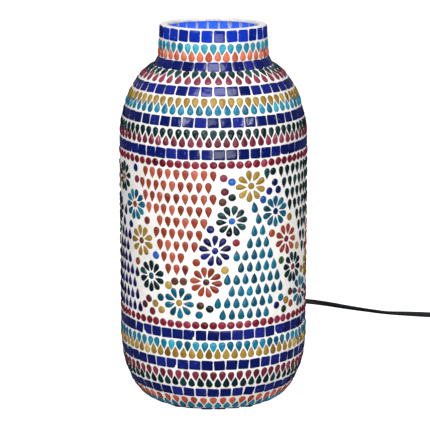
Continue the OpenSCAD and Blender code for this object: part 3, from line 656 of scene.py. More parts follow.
def read_seat(triangles: np.ndarray, shape: Shape) -> Seat:
    """Finds a solid's outer face and the way it points.

    Args:
        triangles: the solid's triangles.
        shape: its cut, which says what its direction is read from.

    Returns:
        The seat.
    """
    edge_a = triangles[:, 1] - triangles[:, 0]
    edge_b = triangles[:, 2] - triangles[:, 0]
    cross = np.cross(edge_a, edge_b)
    area = np.linalg.norm(cross, axis=1) + 1e-15
    normal = cross / area[:, None]
    middle = triangles.reshape(-1, 3).mean(axis=0)
    radial = np.array([middle[0], middle[1], 0.0])
    radial /= np.linalg.norm(radial)
    best, best_area = None, 0.0
    for i in np.argsort(-area)[:6]:
        if normal[i] @ radial < 0.1:
            continue
        alike = normal @ normal[i] > 0.9995
        total = area[alike].sum()
        if total > best_area:
            best, best_area = alike, total
    face = triangles[best]
    out = (normal[best] * area[best][:, None]).sum(axis=0)
    out /= np.linalg.norm(out)
    flat = face.reshape(-1, 3)
    up = np.array([0.0, 0.0, 1.0])
    up = up - out * (up @ out)
    up /= np.linalg.norm(up)
    if shape is Shape.DROP:
        weights = area[best]
        mass = (face.mean(axis=1) * weights[:, None]).sum(axis=0) / weights.sum()
        far = flat[np.argmax(np.linalg.norm(flat - mass, axis=1))]
        up = far - mass
        up = up - out * (up @ out)
        up /= np.linalg.norm(up)
    side = np.cross(up, out)
    along, across = flat @ up, flat @ side
    middle_face = (up * (along.max() + along.min()) / 2 + side * (across.max() + across.min()) / 2
                   + out * (flat @ out).mean())
    return Seat(Vector(middle_face), Vector(out), Vector(up), float(np.ptp(along)), float(np.ptp(across)))


# ------------------------------------------------------------------ tesserae


@dataclass
class TesseraMoulds:
    """The three master pieces: each 1 long and 1 wide before it is sized, its top at height 0."""

    sink: float = 0.0013
    rounds: int = 16

    def outline(self, shape: Shape) -> list[tuple[float, float]]:
        """Returns the cut's outline, with its point or top towards +Y."""
        if shape is Shape.TILE:
            return self.square_outline(0.07)
        if shape is Shape.BEAD:
            return [(0.5 * math.cos(a), 0.5 * math.sin(a)) for a in
                    (2 * math.pi * i / self.rounds for i in range(self.rounds))]
        points = []
        for i in range(self.rounds + 2):
            t = 2 * math.pi * i / (self.rounds + 2)
            # a fat round end at -Y that draws in to a narrow point at +Y
            y = 0.5 * math.cos(t)
            x = 0.5 * math.sin(t) * (math.sin(t / 2) if t <= math.pi else math.sin((2 * math.pi - t) / 2)) ** 1.15
            points.append((x * 1.1, y))
        widest = max(abs(x) for x, _ in points)
        return [(x * 0.5 / widest, y) for x, y in points][::-1]

    def square_outline(self, corner: float) -> list[tuple[float, float]]:
        """Returns a square with slightly rounded corners and two points on each side."""
        half = 0.5
        points = []
        for k in range(4):
            turn = math.pi / 2 * k
            for x, y in ((half, -half + corner * 1.6), (half, 0.0), (half, half - corner * 1.6),
                         (half - corner * 0.45, half - corner * 0.45), (half - corner * 1.6, half)):
                points.append((x * math.cos(turn) - y * math.sin(turn), x * math.sin(turn) + y * math.cos(turn)))
        unique: list[tuple[float, float]] = []
        for p in points:
            if all(math.dist(p, q) > 1e-4 for q in unique):
                unique.append(p)
        return unique

    def levels(self, shape: Shape) -> list[tuple[float, float, float]]:
        """Returns the dome's rings: share of the outline, height, and the dome attribute."""
        if shape is Shape.TILE:
            return [(1.0, -0.0016, 0.0), (1.0, -0.00034, 0.0), (0.965, -0.0001, 0.5), (0.88, 0.0, 0.9),
                    (0.4, 0.00002, 1.0)]
        return [(1.0, -0.0018, 0.0), (1.0, -0.0007, 0.0), (0.94, -0.00025, 0.25), (0.79, 0.00012, 0.55),
                (0.53, 0.00044, 0.85), (0.25, 0.00062, 1.0)]

    def mesh(self, shape: Shape, length: float, width: float) -> bpy.types.Object:
        """Builds a master piece as a hidden object.

        Args:
            shape: the cut.
            length: along its point, in metres.
            width: across, in metres.

        Returns:
            The master's object.
        """
        bm = bmesh.new()
        dome = bm.verts.layers.float.new("dome")
        outline = self.outline(shape)
        levels = self.levels(shape)
        # drops swell towards their fat end, so the dome's rings draw in about a place below the middle
        heart = -0.14 if shape is Shape.DROP else 0.0
        rings = []
        for share, height, value in levels:
            ring = []
            for x, y in outline:
                v = bm.verts.new((x * share * width, (heart + (y - heart) * share) * length, height))
                v[dome] = value
                ring.append(v)
            rings.append(ring)
        count = len(outline)
        for a, b in zip(rings, rings[1:]):
            for i in range(count):
                j = (i + 1) % count
                bm.faces.new((a[i], a[j], b[j], b[i]))
        crown = bm.verts.new((0.0, heart * length, levels[-1][1] + (0.0 if shape is Shape.TILE else 0.00005)))
        crown[dome] = 1.0
        floor = bm.verts.new((0.0, 0.0, levels[0][1]))
        for i in range(count):
            j = (i + 1) % count
            bm.faces.new((rings[-1][i], rings[-1][j], crown))
            bm.faces.new((rings[0][j], rings[0][i], floor))
        bmesh.ops.recalc_face_normals(bm, faces=bm.faces)
        mesh = bpy.data.meshes.new(f"mould_{shape.value}")
        bm.to_mesh(mesh)
        bm.free()
        return new_object(f"mould_{shape.value}", mesh)


@dataclass
class SettingTree:
    """Geometry Nodes that set one master piece on every seat, and roughen the cut edges by hand."""

    seed: int = 7
    tree: bpy.types.GeometryNodeTree | None = None
    sockets: dict[str, str] = field(default_factory=dict)

    def build(self) -> None:
        """Makes the node group, with a named input for each size."""
        tree = bpy.data.node_groups.new("set_tesserae", "GeometryNodeTree")
        tree.is_modifier = True
        face = tree.interface
        face.new_socket("Geometry", in_out="INPUT", socket_type="NodeSocketGeometry")
        for name, kind, value in (("Master piece", "NodeSocketObject", None),
                                  ("Finish", "NodeSocketMaterial", None),
                                  ("Edge wander", "NodeSocketFloat", 0.00025),
                                  ("Wander size", "NodeSocketFloat", 330.0),
                                  ("Seed", "NodeSocketFloat", float(self.seed))):
            socket = face.new_socket(name, in_out="INPUT", socket_type=kind)
            if value is not None:
                socket.default_value = value
            self.sockets[name] = socket.identifier
        face.new_socket("Geometry", in_out="OUTPUT", socket_type="NodeSocketGeometry")
        n, link = tree.nodes, tree.links.new
        start, end = n.new("NodeGroupInput"), n.new("NodeGroupOutput")
        master = n.new("GeometryNodeObjectInfo")
        link(start.outputs["Master piece"], master.inputs["Object"])
        master.inputs["As Instance"].default_value = True
        turn = self.named(tree, "turn")
        size = self.named(tree, "size")
        to_turn = n.new("FunctionNodeEulerToRotation")
        link(turn, to_turn.inputs[0])
        points = n.new("GeometryNodeMeshToPoints")
        link(start.outputs["Geometry"], points.inputs["Mesh"])
        place = n.new("GeometryNodeInstanceOnPoints")
        link(points.outputs["Points"], place.inputs["Points"])
        link(master.outputs["Geometry"], place.inputs["Instance"])
        link(to_turn.outputs[0], place.inputs["Rotation"])
        link(size, place.inputs["Scale"])
        real = n.new("GeometryNodeRealizeInstances")
        link(place.outputs["Instances"], real.inputs["Geometry"])
        noise = n.new("ShaderNodeTexNoise")
        noise.noise_dimensions = "4D"
        noise.inputs["Detail"].default_value = 1.0
        link(start.outputs["Wander size"], noise.inputs["Scale"])
        link(start.outputs["Seed"], noise.inputs["W"])
        centred = n.new("ShaderNodeVectorMath")
        centred.operation = "SUBTRACT"
        centred.inputs[1].default_value = (0.5, 0.5, 0.5)
        link(noise.outputs["Color"], centred.inputs[0])
        amount = n.new("ShaderNodeVectorMath")
        amount.operation = "SCALE"
        link(centred.outputs[0], amount.inputs[0])
        link(start.outputs["Edge wander"], amount.inputs["Scale"])
        move = n.new("GeometryNodeSetPosition")
        link(real.outputs["Geometry"], move.inputs["Geometry"])
        link(amount.outputs[0], move.inputs["Offset"])
        shade = n.new("GeometryNodeSetShadeSmooth")
        link(move.outputs["Geometry"], shade.inputs["Geometry"])
        paint = n.new("GeometryNodeSetMaterial")
        link(shade.outputs["Geometry"], paint.inputs["Geometry"])
        link(start.outputs["Finish"], paint.inputs["Material"])
        link(paint.outputs["Geometry"], end.inputs["Geometry"])
        self.tree = tree

    @staticmethod
    def named(tree: bpy.types.GeometryNodeTree, name: str) -> bpy.types.NodeSocket:
        """Returns a named vector attribute's socket."""
        node = tree.nodes.new("GeometryNodeInputNamedAttribute")
        node.data_type = "FLOAT_VECTOR"
        node.inputs["Name"].default_value = name
        return node.outputs["Attribute"]

    def lay(self, name: str, rows: Sequence[tuple[Vector, Euler, Vector, float]], master: bpy.types.Object,
            material: bpy.types.Material, wander: float) -> bpy.types.Object:
        """Sets the master on every row and turns the result into a plain mesh.

        Args:
            name: the piece's name.
            rows: place, turn, size and tint of each tessera.
            master: the master piece.
            material: the glass.
            wander: how far a cut edge strays, in metres.

        Returns:
            The piece, with no modifier left on it.
        """
        seeds = bpy.data.meshes.new(name + "_seats")
        seeds.from_pydata([tuple(r[0]) for r in rows], [], [])
        for attribute, column in (("turn", 1), ("size", 2)):
            layer = seeds.attributes.new(attribute, "FLOAT_VECTOR", "POINT")
            layer.data.foreach_set("vector", [c for r in rows for c in r[column]])
        layer = seeds.attributes.new("tint", "FLOAT", "POINT")
        layer.data.foreach_set("value", [r[3] for r in rows])
        holder = new_object(name + "_holder", seeds)
        modifier = holder.modifiers.new("set", "NODES")
        modifier.node_group = self.tree
        modifier[self.sockets["Master piece"]] = master
        modifier[self.sockets["Finish"]] = material
        modifier[self.sockets["Edge wander"]] = wander
        modifier[self.sockets["Seed"]] = float(self.seed)
        bpy.context.view_layer.update()
        evaluated = holder.evaluated_get(bpy.context.evaluated_depsgraph_get())
        mesh = bpy.data.meshes.new_from_object(evaluated)
        mesh.name = name
        holder.modifiers.clear()
        bpy.data.objects.remove(holder)
        return new_object(name, mesh)


# Colours of the flowers' middles from the first peak on, and of the accents: [degrees round, mm up, colour].
HEARTS = ("orange", "orange", "brown", "turquoise", "gold", "brown", "navy", "blue", "gold", "navy", "maroon",
          "maroon", "orange", "brown", "turquoise", "gold")
ACCENTS: tuple[tuple[float, float, str], ...] = (
    (6, 220, "maroon"), (6.5, 207, "maroon"), (11, 216, "blue"), (13, 224, "navy"), (11, 203, "green"),
    (4, 199, "brown"), (21, 195, "green"), (33, 224, "blue"), (38, 222, "green"), (40, 212, "navy"),
    (36, 206, "navy"), (42, 206, "navy"), (32, 198, "blue"), (-1, 173, "navy"), (12, 164, "crimson"),
    (-8, 145, "orange"), (6, 138, "gold"), (52, 178, "gold"), (39, 167, "orange"), (61, 149, "gold"),
    (46, 140, "leaf"), (56, 112, "brown"), (54, 105, "gold"), (57, 100, "orange"), (-34, 113, "turquoise"),
    (-38, 107, "gold"), (-33, 102, "gold"), (-43, 110, "maroon"), (-46, 105, "maroon"), (-40, 99, "maroon"),
    (-8, 109, "brown"), (-3, 106, "green"), (-9, 100, "turquoise"), (-28, 134, "orange"), (-24, 129, "brown"),
    (-28, 125, "gold"), (-60, 222, "blue"), (-54, 223, "navy"), (-56, 215, "navy"), (-61, 213, "navy"),
    (-50, 218, "green"), (-51, 210, "maroon"), (-44, 186, "leaf"), (-48, 181, "turquoise"), (-58, 179, "orange"),
    (-63, 175, "navy"), (-41, 176, "orange"), (-38.5, 167, "orange"), (-63, 167, "orange"), (-63, 159, "green"),
    (-36, 157, "gold"), (-34, 150, "brown"), (-39, 148, "blue"), (-30, 143, "orange"), (-55, 152, "gold"),
    (-58, 146, "gold"), (-60, 142, "gold"), (-55, 134, "orange"), (-54, 123, "navy"), (-49, 116, "turquoise"))


@dataclass
class Mosaic:
    """Every tessera on the jar, laid from the CAD's seats."""

    frame: dict
    workshop: Workshop
    moulds: TesseraMoulds = field(default_factory=TesseraMoulds)
    setting: SettingTree = field(default_factory=SettingTree)
    tilt: float = 2.2
    wander: dict[Shape, float] = field(default_factory=lambda: {
        Shape.TILE: 0.0007, Shape.DROP: 0.0004, Shape.BEAD: 0.0004})
    master_size: dict[Shape, tuple[float, float]] = field(default_factory=lambda: {
        Shape.TILE: (0.0088, 0.0093), Shape.DROP: (0.0095, 0.0058), Shape.BEAD: (0.0062, 0.0062)})
    stretch: dict[str, tuple[float, float]] = field(default_factory=lambda: {
        "tile": (1.03, 1.02), "band": (1.0, 1.03), "field": (1.06, 1.09), "petals": (1.02, 1.07),
        "bead": (1.1, 1.1)})
    # height above which tesserae get a lighter tint: painted light from above
    lit_above: float = 0.285
    masters: dict[Shape, bpy.types.Object] = field(default_factory=dict)

    def build(self) -> list[Seat]:
        """Lays every node of tesserae.

        Returns:
            The seats of the top tile ring, whose backs show inside the neck.
        """
        self.setting.build()
        for shape, (length, width) in self.master_size.items():
            self.masters[shape] = self.moulds.mesh(shape, length, width)
        top: list[Seat] = []
        for i in range(1, 10):
            seats = self.seats(f"tile_row_{i}", Shape.TILE)
            # the top ring takes the lighter copy of the navy glass: painted light from above
            self.lay(f"tile_row_{i}", seats, Shape.TILE, "navy_lit_top" if i == 1 else "navy", "navy_glass",
                     f"tesserae_tiles_{i}")
            if i == 1:
                top = seats
        for colour, slot in (("turquoise", "turquoise_glass"), ("orange", "orange_glass"),
                             ("green", "dark_green_glass"), ("maroon", "maroon_glass"), ("gold", "gold_glass")):
            node = f"band_drops_{colour}"
            glass = {"turquoise": "sky", "orange": "flame"}.get(colour, colour)
            self.lay(node, self.seats(node, Shape.DROP), Shape.DROP, glass, slot, f"tesserae_band_{colour}")
        for end in ("upper", "lower"):
            node = f"bead_row_{end}"
            self.lay(node, self.seats(node, Shape.BEAD), Shape.BEAD, "crimson", "maroon_glass", f"beads_{end}")
        for colour, slot in (("orange", "orange_glass"), ("green", "dark_green_glass"),
                             ("turquoise", "turquoise_glass"), ("navy", "navy_glass")):
            node = f"field_drops_{colour}"
            glass = "ink" if colour == "navy" else colour
            self.lay(node, self.seats(node, Shape.DROP), Shape.DROP, glass, slot, f"tesserae_field_{colour}")
        for colour, slot in (("gold", "gold_glass"), ("green", "dark_green_glass"), ("navy", "navy_glass"),
                             ("orange", "orange_glass"), ("turquoise", "turquoise_glass")):
            node = f"petals_{colour}"
            glass = "ink" if colour == "navy" else colour
            self.lay(node, self.seats(node, Shape.DROP), Shape.DROP, glass, slot, f"flower_petals_{colour}")
        self.lay_beads()
        for master in self.masters.values():
            bpy.data.objects.remove(master)
        return top

    def seats(self, node: str, shape: Shape) -> list[Seat]:
        """Reads a node's seats from its solids."""
        return [read_seat(solid, shape) for solid in islands(self.frame["nodes"][node])]

    def lay(self, node: str | None, seats: Sequence[Seat], shape: Shape, glass: str, slot: str,
            name: str) -> bpy.types.Object:
        """Lays one colour of one node's tesserae.

        Args:
            node: the CAD node that they stand for, or None.
            seats: where they go.
            shape: their cut.
            glass: the finish's key.
            slot: the record's material slot.
            name: the piece's name.

        Returns:
            The piece.
        """
        chance = random.Random(f"{name}-{self.setting.seed}")
        length, width = self.master_size[shape]
        rows = []
        for seat in seats:
            turn = Matrix((seat.point.cross(seat.out), seat.point, seat.out)).transposed()
            sway = 2.0 if shape is Shape.TILE else 4.0
            lean = Euler((math.radians(chance.gauss(0, self.tilt)), math.radians(chance.gauss(0, self.tilt)),
                          math.radians(chance.gauss(0, sway)))).to_matrix()
            if shape is Shape.BEAD:
                lean = Euler((lean.to_euler().x, lean.to_euler().y, chance.uniform(0, 6.28))).to_matrix()
            wide, long = self.stretch.get((node or "bead").split("_")[0], self.stretch["bead"])
            size = Vector((seat.width / width * wide * chance.uniform(0.96, 1.04),
                           seat.length / length * long * chance.uniform(0.97, 1.03), 1.0))
            # painted light: tesserae high on the jar get a lighter tint, as lit from above
            lit = 0.28 if seat.middle.z > self.lit_above else 0.0
            tint = min(1.0, max(0.0, chance.gauss(0.5 + lit, 0.2)))
            rows.append((seat.middle, (turn @ lean).to_euler(), size, tint))
        piece = self.setting.lay(name, rows, self.masters[shape], self.workshop.get(glass), self.wander[shape])
        finish_piece(piece, Body.LAMP, self.workshop.get(glass), slot, [node] if node else [])
        log.info("%s: %d tesserae, %d faces", name, len(seats), len(piece.data.polygons))
        return piece

    def lay_beads(self) -> None:
        """Lays the flowers' middles and the accents, each in its own mixed colours."""
        middles = sorted(self.seats("flower_beads", Shape.BEAD), key=lambda seat: (seat.angle + 75.0) % 360.0)
        mixed: dict[str, list[Seat]] = {}
        for i, seat in enumerate(middles):
            mixed.setdefault(HEARTS[i % len(HEARTS)], []).append(seat)
        self.lay_mixed(mixed, "flower_hearts", ["flower_beads"])
        wheel = {"accent_beads_dark": ["navy", "green", "blue", "navy", "brown", "navy", "turquoise"],
                 "accent_beads_bright": ["crimson", "gold", "orange", "maroon", "gold", "leaf", "orange"]}
        for node, colours in wheel.items():
            chance = random.Random(node)
            mixed = {}
            for seat in self.seats(node, Shape.BEAD):
                mixed.setdefault(self.accent(seat, chance.choice(colours)), []).append(seat)
            self.lay_mixed(mixed, node.replace("accent_beads", "accents"), [node])

    @staticmethod
    def accent(seat: Seat, otherwise: str) -> str:
        """Chooses an accent's colour: the listed one nearest to it, or another where none is near.

        Args:
            seat: the accent's seat.
            otherwise: the colour where none is listed within 9 mm.

        Returns:
            The colour's key.
        """
        def far(entry: tuple[float, float, str]) -> float:
            return math.hypot((seat.angle - entry[0]) * 1.43, (seat.middle.z * 1000 - entry[1]))
        near = min(ACCENTS, key=far)
        return near[2] if far(near) < 9.0 else otherwise

    def lay_mixed(self, groups: dict[str, list[Seat]], name: str, nodes: list[str]) -> None:
        """Lays beads of several colours that stand for the same nodes."""
        slots = {"green": "dark_green_glass", "blue": "navy_glass", "brown": "maroon_glass", "leaf": "dark_green_glass",
                 "crimson": "maroon_glass"}
        for i, (colour, seats) in enumerate(sorted(groups.items())):
            slot = slots.get(colour, f"{colour}_glass")
            self.lay(nodes[0] if i == 0 else None, seats, Shape.BEAD, colour, slot, f"{name}_{colour}")


# ------------------------------------------------------------------ grout and jar


@dataclass
class GroutSkin:
    """The grout between the tesserae, from the mortar bed's outside up to just under the glass faces."""

    frame: dict
    rise: float = 0.0016
    lip: float = 0.0009
    unevenness: float = 0.00012
    rays: int = 300
    steps: int = 320

    def outer_profile(self) -> list[tuple[float, float]]:
        """Reads the mortar bed's outline from its solid, from the bottom ring to the rim.

        Returns:
            Radius and height of evenly spaced points.
        """
        mesh = self.frame["nodes"]["mortar_bed"].data
        tree = BVHTree.FromPolygons([v.co.copy() for v in mesh.vertices], [tuple(p.vertices) for p in mesh.polygons])
        low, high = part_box("mortar_bed")
        hub = Vector((0.0, 0.0, (low.z + high.z) / 2))
        inner_foot = min((math.hypot(v.co.x, v.co.y) for v in mesh.vertices if v.co.z < low.z + 0.0004))
        start = math.atan2(low.z - hub.z, inner_foot) + 0.004
        rim = max(math.hypot(v.co.x, v.co.y) for v in mesh.vertices if v.co.z > high.z - 0.0025)
        stop = math.atan2(high.z - 0.0025 - hub.z, rim)
        points = []
        for i in range(self.rays + 1):
            a = start + (stop - start) * i / self.rays
            way = Vector((math.cos(a), 0.0, math.sin(a)))
            hit = tree.ray_cast(hub + way * 0.4, -way)[0]
            if hit is not None:
                points.append((hit.x, hit.z))
        return points

    def build(self, material: bpy.types.Material) -> bpy.types.Object:
        """Turns the raised outline into the grout's shell and dresses it.

        Args:
            material: the grout's finish.

        Returns:
            The piece.
        """
        outline = self.outer_profile()
        low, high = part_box("mortar_bed")
        raised = []
        for i, (r, z) in enumerate(outline):
            a, b = outline[max(i - 3, 0)], outline[min(i + 3, len(outline) - 1)]
            length = math.dist(a, b)
            raised.append((r + (b[1] - a[1]) / length * self.rise, z - (b[0] - a[0]) / length * self.rise))
        inner_lip = min(math.hypot(v.co.x, v.co.y) for v in self.frame["nodes"]["mortar_bed"].data.vertices
                        if v.co.z > high.z - 0.0005) - 0.0006
        top_r, top_z = raised[-1][0], high.z
        edge = 0.0016
        roll = [(top_r - edge * (1 - math.cos(t)), top_z - edge + edge * math.sin(t))
                for t in (math.pi / 2 * k / 5 for k in range(6))]
        inside = [(inner_lip + edge * (1 - math.sin(t)), top_z - edge + edge * math.cos(t))
                  for t in (math.pi / 2 * k / 5 for k in range(6))]
        back = [(r - 0.0019 * 0.97, z + 0.0006) for r, z in reversed(outline[::6])]
        back = [(r, min(z, high.z - 0.0025)) for r, z in back]
        lip_drop = [(inner_lip, high.z - 0.0026)]
        profile = raised + roll + inside + lip_drop + back
        piece = lathe("grout", profile, self.steps, True, self.wobble)
        return finish_piece(piece, Body.LAMP, material, "white_mortar", ["mortar_bed"])

    def wobble(self, angle: float, radius: float, height: float) -> float:
        """Returns how far the hand-wiped grout strays at a place."""
        at = Vector((math.cos(angle) * 0.08, math.sin(angle) * 0.08, height)) * 130.0
        return self.unevenness * noise.noise(at) * 2.0


@dataclass
class NeckWindow:
    """The backs of the top ring's tiles, seen through the glass inside the neck."""

    depth: float = 0.0041
    grow: float = 0.98

    def build(self, seats: Sequence[Seat], mosaic: Mosaic, material: bpy.types.Material) -> bpy.types.Object:
        """Lays a thin blue plate behind every tile of the top ring.

        Args:
            seats: the top ring's seats.
            mosaic: the mosaic, for its moulds and node tree.
            material: the glowing blue.

        Returns:
            The piece.
        """
        length, width = mosaic.master_size[Shape.TILE]
        master = mosaic.moulds.mesh(Shape.TILE, length, width)
        rows = []
        chance = random.Random(11)
        for seat in seats:
            inward = -seat.out
            turn = Matrix((seat.point.cross(inward), seat.point, inward)).transposed()
            size = Vector((seat.width / width * self.grow * chance.uniform(0.92, 1.0) * 0.93,
                           seat.length / length * self.grow, 0.14))
            rows.append((seat.middle - seat.out * self.depth, turn.to_euler(), size, chance.random()))
        piece = mosaic.setting.lay("tile_backs", rows, master, material, 0.0006)
        bpy.data.objects.remove(master)
        return finish_piece(piece, Body.LAMP, material, "navy_glass")


# ------------------------------------------------------------------ cord, switch and plug


@dataclass
class TwinCord:
    """The flat twin cord: two round cores side by side in one vinyl sheath, 1.8 m long."""

    width: float = 0.0054
    thickness: float = 0.0028
    length: float = 1.8
    exit_y: float = 0.056
    lie: float = 0.0027
    hold_z: float = 0.0016
    switch_y: float = 0.165
    switch_l: float = 0.058
    switch_z: float = 0.0085
    coil_x: float = 0.272
    coil_y: float = 0.235
    coil_outer: float = 0.035
    turn_gap: float = 0.00282
    plug: tuple[float, float, float] = (0.307, 0.194, 0.0065)
    step: float = 0.0035

    def rest(self, roll: float) -> float:
        """Returns the height of the cord's middle where it lies on the table, turned by roll degrees."""
        return (self.width - self.thickness) / 2 * math.cos(math.radians(roll)) + self.thickness / 2

    def knots(self) -> list[tuple[float, float, float, float]]:
        """Returns the route's chosen points: x, y, z and the turn of the flat side from upright, in degrees."""
        lie, rest, enter = self.lie, self.rest, self.switch_y - self.switch_l / 2
        leave, z = self.switch_y + self.switch_l / 2, self.switch_z
        lead = [(0, self.exit_y, self.hold_z, 90), (0, 0.066, rest(90) + 0.0002, 90), (0, 0.078, rest(80), 80),
                (0, 0.090, rest(50), 50), (0, 0.102, rest(20) + 0.0004, 20), (0, 0.114, lie + 0.002, 0),
                (0, 0.125, z - 0.0015, 0), (0, 0.133, z, 0), (0, enter + 0.003, z, 0)]
        middle = [(0, self.switch_y - 0.012, z, 0), (0, self.switch_y + 0.012, z, 0)]
        run = [(0, leave - 0.003, z, 0), (0, 0.198, z, 0), (0, 0.208, z - 0.0015, 0), (-0.001, 0.220, lie + 0.002, 0),
               (-0.003, 0.234, lie + 0.0004, 0)]
        run += [(x, y, rest(roll), roll) for x, y, roll in (
            (-0.004, 0.250, 0), (-0.004, 0.268, 0), (0, 0.286, 0), (0.008, 0.304, 0), (0.020, 0.320, 0),
            (0.036, 0.332, 0), (0.054, 0.339, 0), (0.074, 0.341, 0), (0.090, 0.340, 8), (0.106, 0.335, 25),
            (0.124, 0.326, 45), (0.142, 0.315, 65), (0.162, 0.304, 82), (0.184, 0.293, 88), (0.206, 0.286, 55),
            (0.228, 0.280, 20), (0.250, 0.275, 0))]
        return lead + middle + run

    def coil(self) -> list[tuple[float, float, float, float]]:
        """Returns the coil's points: inward in the lower layer, then outward in the upper one."""
        outer = self.coil_outer - self.thickness / 2
        turns_in, turns_out = 3.0, 3.25
        points = []
        steps = 30
        for i in range(int((turns_in + turns_out) * steps) + 1):
            t = i / steps
            a = math.pi / 2 - 2 * math.pi * t
            if t <= turns_in:
                r = outer - self.turn_gap * t
                z = self.lie
            else:
                r = outer - self.turn_gap * (turns_in + turns_out - t) + self.turn_gap * (turns_out - turns_in) * 0.5
                z = self.lie + self.width
            blend = min(1.0, max(0.0, (t - turns_in + 0.25) / 0.5))
            blend = blend * blend * (3 - 2 * blend)
            z = self.lie + self.width * blend
            r_in = outer - self.turn_gap * t
            r_out = outer - self.turn_gap * (turns_in + turns_out - t)
            r = r_in if t < turns_in - 0.25 else r_out if t > turns_in + 0.25 else (
                r_in * (1 - blend) + r_out * blend)
            points.append((self.coil_x + r * math.cos(a), self.coil_y + r * math.sin(a), z, 0.0))
        return points

    def tail(self) -> list[tuple[float, float, float, float]]:
        """Returns the points from the coil to the plug's neck."""
        x, y, z = self.plug
        return [(0.3066, 0.222, self.lie + self.width - 0.0004, 0), (x, 0.208, z + 0.0003, 0), (x, y, z, 0)]

    def route(self) -> list[tuple[Vector, float]]:
        """Smooths the whole route.

        Returns:
            Closely spaced places, each with the flat side's turn in degrees.
        """
        knots = self.knots() + self.coil() + self.tail()
        places = [Vector(k[:3]) for k in knots]
        rolls = [k[3] for k in knots]
        path: list[tuple[Vector, float]] = []
        for i in range(len(places) - 1):
            p0, p1, p2, p3 = places[max(i - 1, 0)], places[i], places[i + 1], places[min(i + 2, len(places) - 1)]
            count = max(1, round((p2 - p1).length / self.step))
            d1 = max((p1 - p0).length, 1e-6) ** 0.5
            d2 = max((p2 - p1).length, 1e-6) ** 0.5
            d3 = max((p3 - p2).length, 1e-6) ** 0.5
            m1 = (p2 - p1) - (((p2 - p0) / (d1 + d2) - (p1 - p0) / d1) * d2 if i else Vector())
            m1 = ((p1 - p0) / d1 - (p2 - p0) / (d1 + d2) + (p2 - p1) / d2) * d2 if i else (p2 - p1)
            m2 = (((p2 - p1) / d2 - (p3 - p1) / (d2 + d3) + (p3 - p2) / d3) * d2
                  if i + 2 < len(places) else (p2 - p1))
            for k in range(count):
                t = k / count
                h = (2 * t**3 - 3 * t**2 + 1, t**3 - 2 * t**2 + t, -2 * t**3 + 3 * t**2, t**3 - t**2)
                path.append((p1 * h[0] + m1 * h[1] + p2 * h[2] + m2 * h[3], rolls[i] * (1 - t) + rolls[i + 1] * t))
        path.append((places[-1], rolls[-1]))
        return path

    def section(self) -> list[tuple[float, float]]:
        """Returns the sheath's outline: two round cores joined by a narrower web."""
        points = []
        half_w, half_t = self.width / 2, self.thickness / 2
        core = half_t
        for side in (1, -1):
            for k in range(9):
                a = math.radians(-75 + 150 * k / 8)
                points.append((side * core * math.sin(a) if side > 0 else -core * math.sin(a),
                               side * (half_w - core + core * math.cos(a))))
        groove = [(p[0], p[1]) for p in points]
        return groove

    def build(self, material: bpy.types.Material) -> tuple[bpy.types.Object, list[Vector]]:
        """Sweeps the sheath along the route.

        Args:
            material: the vinyl.

        Returns:
            The cord's mesh and the points it follows.
        """
        path = self.route()
        section = self.section()
        bm = bmesh.new()
        rings = []
        for i, (at, roll) in enumerate(path):
            ahead = (path[min(i + 1, len(path) - 1)][0] - path[max(i - 1, 0)][0]).normalized()
            side = ahead.cross(Vector((0, 0, 1))).normalized()
            up = side.cross(ahead)
            a = math.radians(roll)
            across = side * math.cos(a) + up * math.sin(a)
            along = up * math.cos(a) - side * math.sin(a)
            rings.append([bm.verts.new(at + across * x + along * y) for x, y in section])
        count = len(section)
        for a_ring, b_ring in zip(rings, rings[1:]):
            for k in range(count):
                j = (k + 1) % count
                bm.faces.new((a_ring[k], a_ring[j], b_ring[j], b_ring[k]))
        bm.faces.new(rings[0])
        bm.faces.new(rings[-1])
        bmesh.ops.recalc_face_normals(bm, faces=bm.faces)
        mesh = bpy.data.meshes.new("cord")
        bm.to_mesh(mesh)
        bm.free()
        smooth(mesh, 60.0)
        piece = new_object("cord", mesh)
        finish_piece(piece, Body.LAMP, material, "cord_vinyl", ["cord_lead", "cord_run", "cord_coil", "cord_tail"])
        return piece, [p for p, _ in path]


